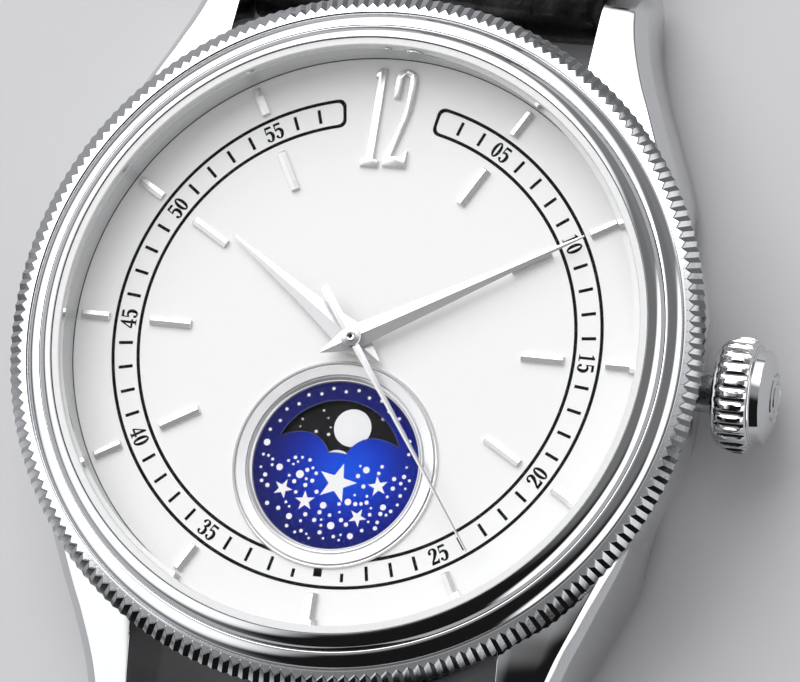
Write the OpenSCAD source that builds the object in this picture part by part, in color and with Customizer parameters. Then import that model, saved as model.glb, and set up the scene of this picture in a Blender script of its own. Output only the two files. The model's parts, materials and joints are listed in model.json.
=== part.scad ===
// Quartz wristwatch with a moon phase, on a two-part leather strap with a pin buckle.
// It lies face up with the strap open. Millimetres, +Z is up out of the dial.
// The origin is the centre of the case back's outer face, +Y is 12 o'clock, +X is the crown.

/* [Case] */
// Radius of the case flank
case_r = 20.6; // [20:0.1:22]
// Wall between the flank and the movement cavity
case_wall = 3.6; // [3.4:0.05:3.8]
// Height from the case back's inner rim to the top of the case
case_h = 7.6; // [7.6:0.1:8.6]
// Distance from the flank out to the spring bar
bar_out = 1.8; // [1.7:0.05:2.4]
// Radius of the curve down the top of a lug
lug_fall_r = 11.2; // [10.5:0.1:12.5]
// Radius of the hollow curve along a lug's outer side
lug_side_r = 73; // [60:1:90]

/* [Case back] */
// Thickness of the case back's rim
back_t = 0.9; // [0.8:0.05:1.2]
// Number of notches for the opening tool
notch_n = 6; // [4:1:8]

/* [Bezel and crystal] */
// How far the coin edge stands out past the flank
bezel_out = 0.43; // [0.3:0.01:0.8]
// Number of teeth in the coin edge
coin_n = 200; // [120:10:240]
// Depth of the coin edge
coin_depth = 0.42; // [0.2:0.01:0.5]
// Thickness of the crystal
crystal_t = 1.55; // [1.2:0.05:2]
// Room between the dial and the crystal
crystal_gap = 2.2; // [2.1:0.05:2.8]

/* [Crown] */
// Radius of the crown over its flutes
crown_r = 3.38; // [3:0.01:3.6]
// Length of the fluted barrel
crown_len = 2.15; // [2:0.05:2.6]
// Number of flutes
flute_n = 28; // [20:1:36]
// Radius of the winding stem
stem_r = 0.6; // [0.5:0.01:0.65]

/* [Dial] */
// Thickness of the dial
dial_t = 0.4; // [0.35:0.01:0.6]
// Gap from the ring round the moon window to the outer indices
ring_gap = 1.5; // [1.2:0.05:2]
// Gap from that ring to the centre of the dial
centre_gap = 1.3; // [1.2:0.05:1.6]
// Gap from the ring's opening to the crescent window's outer arc
window_gap = 1.1; // [1:0.05:1.4]
// Length of an outer index
index_len = 1.76; // [1.2:0.01:1.9]
// Width of an index
index_w = 0.45; // [0.3:0.01:0.6]
// Height of an index
index_h = 0.35; // [0.25:0.01:0.4]

/* [Hands] */
// Length of the hour hand from its centre
hour_len = 10.1; // [8:0.1:11]
// Length of the minute hand from its centre
minute_len = 14.9; // [12:0.1:15]
// Length of the second hand from its centre
second_len = 14.9; // [12:0.1:15]
// Half the hour hand's greatest width
hour_half_w = 0.95; // [0.9:0.01:1.1]
// Half the minute hand's greatest width
minute_half_w = 0.78; // [0.6:0.01:0.9]
// Direction of the hour hand from 3 o'clock in degrees
hour_deg = 146; // [0:1:359]
// Direction of the minute hand from 3 o'clock in degrees
minute_deg = 29.8; // [0:0.1:359]
// Direction of the second hand from 3 o'clock in degrees
second_deg = 306.6; // [0:0.1:359]

/* [Movement] */
// Width of the holder between the movement and the case
holder_w = 2.95; // [2.4:0.05:3.1]
// Thickness of the main plate
plate_t = 0.7; // [0.7:0.05:0.9]
// Radius of the battery
battery_r = 3.4; // [3.1:0.05:3.4]
// Thickness of the battery
battery_t = 2.6; // [2.1:0.05:2.6]

/* [Strap] */
// Width of the strap between the lugs
strap_w = 22; // [20:0.5:22]
// Width of the strap at the buckle
strap_end_w = 18; // [16:0.5:18]
// Length of the buckle half, from spring bar to buckle bar
short_len = 75; // [72:1:85]
// Length of the hole half, from spring bar to tip
long_len = 115; // [105:1:130]
// Thickness of the strap past its padding
strap_t = 2.6; // [2.4:0.05:2.8]
// Thickness of the lining leather
lining_t = 0.9; // [0.7:0.05:1.1]
// Radius of the spring bars
bar_r = 0.9; // [0.75:0.01:0.95]
// Number of adjustment holes
hole_n = 7; // [5:1:8]
// Distance between adjustment holes
hole_pitch = 6.5; // [6:0.1:7]
// Radius of an adjustment hole
hole_r = 1; // [0.9:0.05:1.2]

/* [Keepers and buckle] */
// Width of a keeper along the strap
keeper_w = 5; // [4:0.1:6]
// Thickness of a keeper's leather
keeper_t = 1.05; // [0.9:0.05:1.3]
// Width of the metal in the buckle frame's sides
frame_w = 2.1; // [1.8:0.1:2.6]
// Length of the buckle frame past its bar
frame_len = 8.2; // [7.8:0.1:10]
// Radius of the buckle bar
buckle_bar_r = 0.75; // [0.6:0.01:0.8]

/* [View] */
// Sub-part to draw, or all

/* [Hidden] */
$fn = 96;
eps = 0.01;
run = 0.05;
pivot_r = 0.12;
pivot_gap = 0.05;
post_r = 0.3;
screw_r = 0.25;
screw_head_r = 0.55;
screw_head_h = 0.35;

// Colours
steel = [0.86, 0.87, 0.88];
dark_steel = [0.6, 0.61, 0.63];
brass_c = [0.83, 0.68, 0.38];
white_c = [0.97, 0.97, 0.97];
leather_c = [0.05, 0.05, 0.05];
lining_c = [0.16, 0.12, 0.1];
rubber_c = [0.08, 0.08, 0.08];
blue_c = [0.05, 0.15, 0.75];

// Radii of the case and what it holds
index_edge = 0.39;
cav_r = case_r - case_wall;
seat_r = cav_r + 0.7;
dial_r = seat_r - 0.1;
top_r = cav_r + 1.25;
rehaut_r = top_r - run;
view_r = dial_r - 0.25;
view_top_r = view_r + 0.33;
crystal_r = top_r - 0.2;
channel_r = crystal_r + 0.35;
lip_r = crystal_r + 0.07;
bezel_r = case_r + bezel_out;
plug_r = cav_r - run;
move_r = plug_r - holder_w;
// Plan sizes of the movement's parts, as a share of those in one of 14 mm radius
move_k = move_r / 14;
subdial_r = (view_r - index_edge - index_len - ring_gap - centre_gap) / 2;
open_r = subdial_r - 1.15;
window_r = open_r - window_gap;
back_r = cav_r + 1;
tube_r = 1.2;
crown_x = case_r + 0.6;
crown_hole_r = tube_r + 0.8;
recess_x = case_r - 0.7;
bar_y = case_r + bar_out;
bar_z = back_t + 2.1;
lug_x = strap_w / 2 + 0.15;
lug_tip_y = bar_y + 1.8;

// Heights, from the case back up
z_back = back_t;
z_plug = z_back + 0.5;
z_bridge = z_plug + 0.6;
bridge_t = 0.6;
z_lev_d = z_bridge + bridge_t + run;
z_lev_c = z_lev_d + 0.3;
z_lev_b = z_lev_c + 0.5;
z_lev_a = z_lev_b + 0.7;
z_plate = z_bridge + 2.6;
z_plate_top = z_plate + plate_t;
z_l1 = z_plate_top + run;
z_l2 = z_l1 + 0.35;
z_l3 = z_l2 + 0.35;
z_l4 = z_l3 + 0.35;
z_dial = z_l4 + 0.3;
z_dial_top = z_dial + dial_t;
z_top = z_back + case_h;
z_hour = z_dial_top + 0.45;
z_minute = z_hour + 0.5;
z_second = z_minute + 0.5;
z_crystal = z_dial_top + crystal_gap;
z_crystal_top = z_crystal + crystal_t;
z_bezel_top = z_crystal_top + run;
z_stem = z_bridge + 2;

// Places of the wheels in the movement
m_cannon = move_k / 6;
m_hour = 0.16 * move_k;
m_third = 9 / 54 * move_k;
m_fourth = 9 / 51 * move_k;
m_step = 0.243 * move_k;
m_rotor = 0.14 * move_k;
third_a = 75;
third_d = 27 * m_third;
step_a = 200;
step_d = 18 * m_step;
rotor_a = 142;
rotor_d = 21 * m_rotor;
minute_a = 30;
minute_d = 24 * m_cannon;
day_a = 215.35;
day_d = 24 * m_hour;
moon_y = -(centre_gap + subdial_r);
third_p = [third_d * cos(third_a), third_d * sin(third_a)];
step_p = [step_d * cos(step_a), step_d * sin(step_a)];
rotor_p = [step_p[0] + rotor_d * cos(rotor_a), step_p[1] + rotor_d * sin(rotor_a)];
minute_p = [minute_d * cos(minute_a), minute_d * sin(minute_a)];
day_p = [day_d * cos(day_a), day_d * sin(day_a)];
setting_d = 23 * m_cannon;
setting_x = minute_p[0] + sqrt(setting_d * setting_d - minute_p[1] * minute_p[1]);
setting_a = atan2(-minute_p[1], setting_x - minute_p[0]);
clutch_x = setting_x + 2.17 * move_k;
clutch_len = 1.2 * move_k;
clutch_r = 0.9;
groove_x = clutch_x + 1.7 * move_k;
crown_pull = 1.1;
tube_1 = 0.38;
tube_1_bore = pivot_r + pivot_gap;
tube_2 = 0.66;
tube_2_bore = tube_1 + 0.06;
pillar_p = [[6.3, 2.9], [-4.3, 4.6], [2.2, -5.2]] * move_k;
battery_p = [-5.2, -8.2] * move_k;
clamp_p = [[-10.2, -5.6], [-0.4, -11.6]] * move_k;
foot_p = [9, 8.2] * move_k;
jumper_p = [8.5, -4.4] * move_k;
coil_x = -9.9 * move_k;
coil_r = 1.1;
coil_len = 5 * move_k;
lever_p = [groove_x + 0.85 * move_k, -2.9 * move_k];
yoke_p = [clutch_x + 0.16 * move_k, 3.2 * move_k];
pin_r = 0.12;

// Strap
flat_z = 1.35;
strap_end_r = 1.65;
buckle_y = bar_y + short_len;
buckle_z = flat_z + strap_t / 2;
tip_y = bar_y + long_len;
taper_y = bar_y + 7.6;
keeper_y = buckle_y - 5.4;
free_y = keeper_y - 12;
keeper_in_h = strap_t * 2 + 0.1;

// Angle of a gear in mesh with one whose tooth lies at angle p1, seen in direction a
function mesh_phase(a, p1, n1, n2) = a + 180 - (0.5 - (a - p1) * n1 / 360) * 360 / n2;
ph_third = mesh_phase(third_a, 0, 48, 6);
ph_fourth = mesh_phase(third_a + 180, ph_third, 45, 6);
ph_step = mesh_phase(step_a, ph_fourth, 30, 6);
ph_rotor = mesh_phase(rotor_a, ph_step, 36, 6);
ph_minute = mesh_phase(minute_a, 0, 12, 36);
ph_hour = mesh_phase(minute_a + 180, ph_minute, 10, 40);
ph_day = mesh_phase(day_a, ph_hour, 16, 32);
ph_setting = mesh_phase(setting_a, ph_minute, 36, 10);

// Half the strap's width at a distance y from the watch centre
function strap_half(y) = strap_w / 2
    - (strap_w - strap_end_w) / 2 * max(0, y - taper_y) / (buckle_y - taper_y);

module at(p) {
    translate([p[0], p[1], 0]) children();
}

module both_ends() {
    children();
    mirror([0, 1, 0]) children();
}

// Extrudes a side outline drawn in y and z, between two values of x
module side(x0, x1) {
    translate([x0, 0, 0]) rotate([90, 0, 90]) linear_extrude(x1 - x0) children();
}

// Round bar along X
module x_rod(r, x0, x1) {
    translate([x0, 0, 0]) rotate([0, 90, 0]) cylinder(r = r, h = x1 - x0);
}

// Flat bar between two points in plan
module link(a, b, w, t) {
    d = b - a;
    translate([a[0], a[1], 0])
        rotate([0, 0, atan2(d[1], d[0])])
            translate([0, -w / 2, 0]) cube([norm(d), w, t]);
}

module gear(n, m, t, phase = 0) {
    root = m * (n / 2 - 1.1);
    tip = m * (n / 2 + 0.75);
    pitch = 360 / n;
    pts = [for (i = [0 : n - 1]) for (s = [-1, 1]) for (k = [0, 1])
        let (wide = (s < 0) == (k == 0))
        let (a = pitch * (i + s * (wide ? 0.24 : 0.13)) + phase)
        let (r = wide ? root : tip)
        [r * cos(a), r * sin(a)]];
    linear_extrude(t) polygon(pts);
}

// Outline of the case band, turned about Z
module band_outline() {
    polygon([
        [0, z_back],
        [case_r - 2.2, z_back],
        [case_r - 0.9, z_back + 1.4],
        [case_r - 0.2, z_back + 3.1],
        [case_r + 0.05, z_top - 2.4],
        [case_r, z_top - 0.6],
        [case_r - 0.3, z_top],
        [0, z_top]
    ]);
}

module cavity_outline() {
    polygon([
        [0, z_back - 1],
        [cav_r, z_back - 1],
        [cav_r, z_dial],
        [seat_r, z_dial],
        [seat_r, z_dial_top],
        [top_r, z_dial_top],
        [top_r, z_top + 1],
        [0, z_top + 1]
    ]);
}

// Side view of a lug: flat under the bezel, then a curve down to the tip
lug_top = z_top - 0.255;
lug_c = [lug_tip_y - 9.53, lug_top - lug_fall_r];
module lug_outline() {
    translate([lug_tip_y - 20, z_back]) square([20 - 9.53, lug_top - z_back]);
    intersection() {
        translate([lug_c[0], lug_c[1]]) circle(r = lug_fall_r, $fn = 180);
        polygon([
            [lug_c[0] - 1, z_back],
            [lug_tip_y - 0.8, z_back],
            [lug_tip_y, z_back + 0.8],
            [lug_tip_y, lug_top + 1],
            [lug_c[0] - 1, lug_top + 1]
        ]);
    }
}

// Plan of a lug, meeting the round band at its root
module lug_plan() {
    polygon([
        [lug_x, lug_tip_y - 20],
        [lug_x + 6, lug_tip_y - 20],
        [case_r * cos(22), case_r * sin(22)],
        [lug_x + 7.5, lug_tip_y - 14.1],
        [lug_x + 7.5, lug_tip_y + 1],
        [lug_x, lug_tip_y + 1]
    ]);
}

module lug() {
    bevel_p = [lug_x + 3.5, lug_tip_y - 7.2, lug_top - 0.24];
    difference() {
        intersection() {
            side(lug_x, lug_x + 9) lug_outline();
            linear_extrude(20) lug_plan();
            translate(bevel_p) rotate([0, 40, 0]) rotate([0, 0, 5]) translate(-bevel_p)
                side(lug_x - 20, lug_x + 20) scale_deep() lug_outline();
        }
        translate([lug_x + lug_side_r - 0.18, lug_tip_y + 18.25, -1])
            cylinder(r = lug_side_r, h = 20, $fn = 360);
    }
}

// Adds depth under an outline, so that a tilted copy of it cuts only the top
module scale_deep() {
    children();
    translate([lug_c[0] - 30, z_back - 40]) square([lug_tip_y + 30 - lug_c[0], 43]);
    translate([lug_c[0] - 30, z_back - 40]) square([30.5, lug_top - z_back + 40]);
}

module case_middle() {
    color(steel) difference() {
        union() {
            rotate_extrude($fn = 180) band_outline();
            both_ends() {
                lug();
                mirror([1, 0, 0]) lug();
            }
        }
        rotate_extrude($fn = 180) cavity_outline();
        translate([0, 0, z_stem]) x_rod(crown_r + 0.6, recess_x, case_r + 6);
        translate([0, 0, z_stem]) x_rod(tube_r, cav_r - 1, case_r + 1);
        both_ends() translate([0, bar_y, bar_z]) x_rod(0.5, -lug_x - 1.2, lug_x + 1.2);
    }
}

// Coin edge outline in plan
module coin_outline() {
    tip = bezel_r + 0.1;
    root = bezel_r - coin_depth;
    polygon([for (i = [0 : coin_n - 1]) for (k = [0, 1])
        let (a = 360 / coin_n * (i + k / 2))
        let (r = k == 0 ? tip : root)
        [r * cos(a), r * sin(a)]]);
}

z_coin = z_top + 0.42;
z_land = z_bezel_top - 1.12;
module bezel_outline() {
    polygon([
        [bezel_r - 1.2, z_coin],
        [bezel_r, z_coin],
        [bezel_r - 0.3, z_land - 0.06],
        [bezel_r - 0.98, z_land],
        [bezel_r - 1.2, z_land]
    ]);
}

module bezel_body_outline() {
    polygon([
        [top_r, z_top],
        [bezel_r - 0.5, z_top],
        [bezel_r - 0.18, z_top + 0.1],
        [bezel_r - 0.18, z_top + 0.3],
        [bezel_r - 0.45, z_coin],
        [bezel_r - 0.98, z_coin],
        [bezel_r - 0.98, z_land - 0.23],
        [bezel_r - 1.25, z_land - 0.15],
        [bezel_r - 1.41, z_land + 0.09],
        [bezel_r - 1.7, z_land + 0.3],
        [bezel_r - 2.03, z_land + 0.39],
        [bezel_r - 2.08, z_land + 0.47],
        [bezel_r - 2.3, z_land + 0.5],
        [bezel_r - 2.48, z_land + 0.68],
        [bezel_r - 2.7, z_land + 0.95],
        [lip_r, z_bezel_top],
        [lip_r, z_bezel_top - 0.3],
        [channel_r, z_bezel_top - 0.3],
        [channel_r, z_crystal],
        [top_r, z_crystal]
    ]);
}

module bezel() {
    color(steel) {
        rotate_extrude($fn = 180) bezel_body_outline();
        intersection() {
            rotate_extrude($fn = 180) bezel_outline();
            translate([0, 0, z_coin - 1]) linear_extrude(3) coin_outline();
        }
    }
}

module crystal() {
    color([0.9, 0.95, 1, 0.35]) rotate_extrude($fn = 180) polygon([
        [0, z_crystal],
        [crystal_r, z_crystal],
        [crystal_r, z_crystal_top - 0.28],
        [crystal_r - 0.28, z_crystal_top],
        [0, z_crystal_top]
    ]);
}

module crystal_gasket() {
    color(white_c) translate([0, 0, z_crystal]) difference() {
        cylinder(r = channel_r, h = crystal_t - 0.35);
        translate([0, 0, -1]) cylinder(r = crystal_r, h = crystal_t + 2);
    }
}

module rehaut_ring() {
    color(steel) rotate_extrude($fn = 180) polygon([
        [view_r, z_dial_top],
        [rehaut_r, z_dial_top],
        [rehaut_r, z_crystal],
        [view_top_r, z_crystal]
    ]);
}

module case_back() {
    color(steel) difference() {
        rotate_extrude($fn = 180) polygon([
            [0, 0],
            [back_r - 3.5, 0],
            [back_r - 0.6, 0.22],
            [back_r, z_back - 0.3],
            [back_r, z_back],
            [plug_r, z_back],
            [plug_r, z_back + 0.08],
            [plug_r - 0.45, z_back + 0.08],
            [plug_r - 0.45, z_back + 0.37],
            [plug_r, z_back + 0.37],
            [plug_r, z_plug],
            [plug_r - 1.5, z_plug],
            [plug_r - 1.5, z_back - 0.1],
            [0, z_back - 0.1]
        ]);
        for (i = [0 : notch_n - 1])
            rotate([0, 0, 360 / notch_n * (i + 0.5)])
                translate([back_r - 1.6, -0.8, -1]) cube([1, 1.6, 1.5]);
    }
}

module case_back_gasket() {
    color(rubber_c) translate([0, 0, z_back + 0.1]) difference() {
        cylinder(r = cav_r, h = 0.25);
        translate([0, 0, -1]) cylinder(r = plug_r - 0.43, h = 3);
    }
}

module crown_tube() {
    color(dark_steel) translate([0, 0, z_stem]) difference() {
        x_rod(tube_r, cav_r, crown_x + 1.2);
        x_rod(stem_r + 0.08, cav_r - 1, crown_x + 3);
    }
}

module dial() {
    color(white_c) difference() {
        union() {
            translate([0, 0, z_dial]) cylinder(r = dial_r, h = dial_t, $fn = 180);
            for (s = [-1, 1])
                translate([foot_p[0] * s, foot_p[1], z_plate + 0.1])
                    cylinder(r = 0.35, h = z_dial - z_plate);
        }
        translate([0, moon_y, z_dial - 1]) cylinder(r = open_r, h = 3);
        translate([0, moon_y, z_dial - 1]) cylinder(r = open_r + 0.35, h = 1 + dial_t / 2);
        translate([0, 0, z_dial - 1]) cylinder(r = tube_2 + 0.09, h = 3);
    }
}

// Crescent window with two clouds along its lower side
module window_outline() {
    difference() {
        intersection() {
            circle(r = window_r);
            translate([-window_r, window_r * 0.228]) square([window_r * 2, window_r]);
        }
        for (s = [-1, 1]) {
            translate([window_r * 0.557 * s, 0.15]) circle(r = window_r * 0.443);
            translate([s * window_r * 0.962 - 0.45, 0]) square([0.9, window_r * 0.355]);
        }
    }
}

module moon_plate() {
    color(blue_c) translate([0, moon_y, z_dial]) linear_extrude(dial_t / 2) difference() {
        circle(r = open_r + 0.35);
        window_outline();
    }
}

module moon_frame() {
    color(steel) translate([0, moon_y, z_dial_top]) rotate_extrude() polygon([
        [open_r - 0.05, 0],
        [subdial_r, 0],
        [subdial_r, 0.22],
        [subdial_r - 0.1, 0.3],
        [subdial_r - 0.25, 0.3],
        [subdial_r - 0.25, 0.12],
        [subdial_r - 0.34, 0.12],
        [subdial_r - 0.34, 0.2],
        [open_r + 0.25, 0.2]
    ]);
}

// Roof-shaped index pointing at the centre
module index_bar(r0, len, deg) {
    rotate([0, 0, deg]) translate([0, 0, z_dial_top]) side(r0, r0 + len) polygon([
        [-index_w / 2, 0],
        [index_w / 2, 0],
        [index_w / 2, index_h * 0.35],
        [0, index_h],
        [-index_w / 2, index_h * 0.35]
    ]);
}

module outer_indices() {
    color(steel) for (i = [1 : 11])
        index_bar(view_r - index_edge - index_len, index_len, 90 - 30 * i);
}

module inner_indices() {
    color(steel) for (i = [1, 2, 3, 4, 8, 9, 10, 11])
        index_bar(view_r * 0.582, index_len + 0.82, 90 - 30 * i);
}

module numeral_12() {
    base = view_r - 6.8;
    color(steel) translate([0, base, z_dial_top]) linear_extrude(0.3) {
        polygon([
            [-1.41, 0], [-0.31, 0], [-0.31, 0.4], [-0.6, 0.5], [-0.6, 6.1], [-0.95, 6.1],
            [-1.25, 5.8], [-1.25, 5.45], [-1.1, 5.45], [-1.1, 0.5], [-1.41, 0.4]
        ]);
        polygon([
            [-0.05, 0.1], [1.4, 0.1], [1.38, 1.15], [1.15, 1.05], [1.15, 0.75],
            [0.45, 0.75], [0.75, 1.85], [1.15, 3.25], [1.33, 4.35], [1.33, 5.45],
            [1.22, 5.85], [0.95, 6.07], [0.655, 6.14], [0.35, 6.07], [0.1, 5.85],
            [0, 5.45], [0.03, 4.4], [0.5, 4.17], [0.5, 5.45], [0.55, 5.65],
            [0.66, 5.73], [0.78, 5.65], [0.85, 5.45], [0.85, 4.65], [0.8, 3.45],
            [0.45, 2.05], [-0.05, 0.75]
        ]);
    }
}

module movement_ring() {
    color(white_c) difference() {
        rotate_extrude() polygon([
            [move_r + run, z_plug],
            [plug_r, z_plug],
            [plug_r, z_dial],
            [move_r - 0.5, z_dial],
            [move_r - 0.5, z_plate_top],
            [move_r + run, z_plate_top]
        ]);
        translate([0, 0, z_stem]) x_rod(stem_r + 0.2, 0, case_r);
    }
}

// Blocks under the plate that carry the stem
module stem_blocks() {
    translate([setting_x - 0.15, -1.9 * move_k, z_stem - 0.6])
        cube([move_k, 3.8 * move_k, z_plate - z_stem + 0.6 + eps]);
    translate([groove_x + 1.9 * move_k, -1.6 * move_k, z_stem - 1])
        cube([1.3 * move_k, 3.2 * move_k, z_plate - z_stem + 1 + eps]);
}

module main_plate() {
    top_post = z_l4 + 0.25 - z_plate_top;
    color(brass_c) difference() {
        union() {
            translate([0, 0, z_plate]) cylinder(r = move_r, h = plate_t);
            stem_blocks();
            at(minute_p) translate([0, 0, z_plate]) cylinder(r = post_r, h = z_l3 - z_plate);
            at(day_p) translate([0, 0, z_plate]) cylinder(r = post_r, h = plate_t + top_post);
            translate([0, moon_y, z_plate]) cylinder(r = post_r, h = plate_t + top_post);
            for (p = [lever_p, yoke_p])
                translate([p[0], p[1], z_stem - 1.3]) cylinder(r = post_r, h = 2);
            for (y = [0.4, 8])
                translate([coil_x + 1.4, y * move_k, z_stem])
                    cylinder(r = 0.6, h = z_plate - z_stem + eps);
            at(jumper_p) translate([0, 0, z_plate]) cylinder(r = 0.5, h = z_l4 - z_plate);
        }
        translate([0, 0, z_plate - 1]) cylinder(r = tube_2_bore, h = 3);
        for (p = [third_p, step_p, rotor_p])
            at(p) translate([0, 0, z_plate - 1]) cylinder(r = pivot_r + 0.04, h = 3);
        translate([setting_x, 0, z_plate - eps])
            cylinder(r = 1.35 * move_k, h = plate_t - 0.15);
        translate([setting_x, 0, z_plate - 1]) cylinder(r = 0.3, h = 3);
        translate([clutch_x - 1.2 * move_k, -1.25, z_plate - 1]) cube([2.7 * move_k, 2.5, 3]);
        for (s = [-1, 1])
            translate([foot_p[0] * s, foot_p[1], z_plate - 1]) cylinder(r = 0.38, h = 3);
        for (p = concat(pillar_p, clamp_p))
            at(p) translate([0, 0, z_plate - 1]) cylinder(r = screw_r + run, h = 3);
        translate([0, 0, z_stem]) x_rod(0.3, setting_x - 1, groove_x);
        translate([0, 0, z_stem]) x_rod(stem_r + run, groove_x, move_r + 1);
    }
}

module train_bridge() {
    color(steel) difference() {
        union() {
            translate([0.6 * move_k, 2 * move_k, z_bridge]) cylinder(r = 5 * move_k, h = bridge_t);
            for (p = pillar_p) {
                at(p) translate([0, 0, z_bridge]) cylinder(r = 1.3, h = bridge_t);
                at(p) translate([0, 0, z_bridge]) cylinder(r = 0.8, h = z_plate - z_bridge);
            }
            translate([0, 0, z_bridge]) link([0.6 * move_k, 0], pillar_p[2], 2.2, bridge_t);
            translate([0, 0, z_bridge]) link([0, 0], rotor_p, 2.3, bridge_t);
            at(rotor_p) translate([0, 0, z_bridge]) cylinder(r = 1.3, h = bridge_t);
            translate([0, 0, z_bridge]) link([0, 0], step_p, 2.6, bridge_t);
            at(step_p) translate([0, 0, z_bridge]) cylinder(r = 1.5, h = bridge_t);
        }
        for (p = [[0, 0], third_p, step_p, rotor_p])
            at(p) translate([0, 0, z_bridge - 1]) cylinder(r = pivot_r + 0.04, h = 3);
        for (p = pillar_p)
            at(p) translate([0, 0, z_bridge - 1]) cylinder(r = screw_r + run, h = 6);
    }
}

module screw() {
    difference() {
        translate([0, 0, -screw_head_h]) cylinder(r = screw_head_r, h = screw_head_h);
        translate([-1, -0.08, -1]) cube([2, 0.16, 0.78]);
    }
    cylinder(r = screw_r, h = 2.95);
}

module movement_screws() {
    color(dark_steel) {
        for (p = pillar_p)
            at(p) translate([0, 0, z_bridge]) screw();
        for (p = clamp_p)
            at(p) translate([0, 0, z_bridge - 0.3]) screw();
    }
}

module battery() {
    color(steel) at(battery_p) rotate_extrude() polygon([
        [0, z_plate - battery_t],
        [battery_r - 0.2, z_plate - battery_t],
        [battery_r, z_plate - battery_t + 0.2],
        [battery_r, z_plate - 0.6],
        [battery_r - 0.5, z_plate - 0.45],
        [battery_r - 0.5, z_plate],
        [0, z_plate]
    ]);
}

module battery_clamp() {
    z_clamp = z_plate - battery_t - 0.3;
    color(steel) difference() {
        union() {
            translate([0, 0, z_clamp]) link(clamp_p[0], clamp_p[1], 1.6, 0.3);
            for (p = clamp_p)
                at(p) translate([0, 0, z_clamp]) cylinder(r = 0.9, h = z_plate - z_clamp);
        }
        for (p = clamp_p)
            at(p) translate([0, 0, z_clamp - 1]) cylinder(r = screw_r + run, h = 6);
    }
}

board_t = 0.5;
module circuit_board() {
    color([0.1, 0.35, 0.2]) translate([0, 0, z_plate - board_t]) intersection() {
        cylinder(r = move_r - 0.6, h = board_t);
        translate([move_k, -move_r, 0]) cube([move_r, move_r - 6.4 * move_k, board_t]);
    }
}

module quartz_can() {
    color(steel) translate([0, -11 * move_k, z_plate - board_t - 0.75])
        x_rod(0.75, 1.6 * move_k, 6.4 * move_k);
}

module circuit_chip() {
    color(rubber_c) translate([3 * move_k, -9.6 * move_k, z_plate - board_t - 0.8])
        cube([2.4, 2.4, 0.8]);
}

core_w = 0.9;
core_t = 0.5;
module coil() {
    color([0.75, 0.4, 0.2]) difference() {
        translate([coil_x, 7.2 * move_k, z_stem - core_t - 0.25]) rotate([90, 0, 0]) {
            cylinder(r = coil_r, h = coil_len);
            cylinder(r = coil_r + 0.2, h = 0.3);
            translate([0, 0, coil_len - 0.3]) cylinder(r = coil_r + 0.2, h = 0.3);
        }
        translate([coil_x - core_w / 2, 0, z_stem - core_t * 2])
            cube([core_w, 9 * move_k, core_t]);
    }
}

module coil_core() {
    color(dark_steel) translate([coil_x - core_w / 2, -0.4 * move_k, z_stem - core_t * 2])
        cube([core_w, 9 * move_k, core_t]);
}

magnet_r = 0.8 * move_k;
module stator() {
    color(dark_steel) translate([0, 0, z_stem - core_t]) difference() {
        union() {
            translate([coil_x - 0.6, -0.9 * move_k, 0])
                cube([6.6 * move_k, 2.5 * move_k, core_t]);
            translate([coil_x + 2.5, move_k, 0]) cube([1.5 * move_k, 7.6 * move_k, core_t]);
            translate([coil_x - 0.6, 7.4 * move_k, 0])
                cube([4.6 * move_k, 1.2 * move_k, core_t]);
        }
        at(rotor_p) translate([0, 0, -1]) cylinder(r = magnet_r + 0.25, h = 3);
    }
}

moon_teeth = 59;
moon_tip_r = window_r + 0.5;
module moon_jumper() {
    a = 360 / moon_teeth * 5.5;
    tip = [moon_tip_r * cos(a), moon_y + moon_tip_r * sin(a)];
    color(steel) {
        translate([0, 0, z_l4]) link(tip + [0.25, 0.17], jumper_p, 0.3, 0.2);
        at(jumper_p) translate([0, 0, z_l4]) cylinder(r = 0.5, h = 0.2);
        translate([0, moon_y, z_l4]) rotate([0, 0, a]) linear_extrude(0.2) polygon([
            [moon_tip_r - 0.2, -0.04],
            [moon_tip_r + 0.5, -0.25],
            [moon_tip_r + 0.5, 0.25],
            [moon_tip_r - 0.2, 0.04]
        ]);
    }
}

module spring_bars() {
    color(steel) both_ends() translate([0, bar_y, bar_z]) {
        x_rod(bar_r, -lug_x + 0.15, lug_x - 0.15);
        x_rod(0.45, -lug_x - 1.1, lug_x + 1.1);
    }
}

// Kite-shaped hand along +X with a hole for its tube
module kite(tip, half_w, tail, mid, mid_w, h, bore) {
    difference() {
        union() {
            linear_extrude(h) polygon([
                [-tail, 0], [0.05, -half_w], [mid, -mid_w], [tip, -0.06],
                [tip, 0.06], [mid, mid_w], [0.05, half_w]
            ]);
            cylinder(r = half_w - 0.02, h = h);
        }
        translate([0, 0, -1]) cylinder(r = bore, h = h + 2);
    }
}

module hour_hand() {
    color(steel) translate([0, 0, z_hour]) rotate([0, 0, hour_deg])
        kite(hour_len, hour_half_w, 2.2, hour_len * 0.53, 0.38, 0.25, tube_2);
}

module minute_hand() {
    color(steel) translate([0, 0, z_minute]) rotate([0, 0, minute_deg])
        kite(minute_len, minute_half_w, 2.07, minute_len * 0.33, 0.51, 0.25, tube_1);
}

module second_hand() {
    color(steel) translate([0, 0, z_second]) rotate([0, 0, second_deg]) difference() {
        union() {
            cylinder(r = 0.6, h = 0.2);
            cylinder(r = 0.24, h = 0.32);
            linear_extrude(0.14) polygon([
                [0, -0.22], [second_len, -0.06], [second_len, 0.06], [0, 0.22]
            ]);
            translate([-3.57, -0.25, 0]) cube([3.3, 0.5, 0.14]);
        }
        translate([0, 0, -1]) cylinder(r = pivot_r, h = 3);
    }
}

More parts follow.
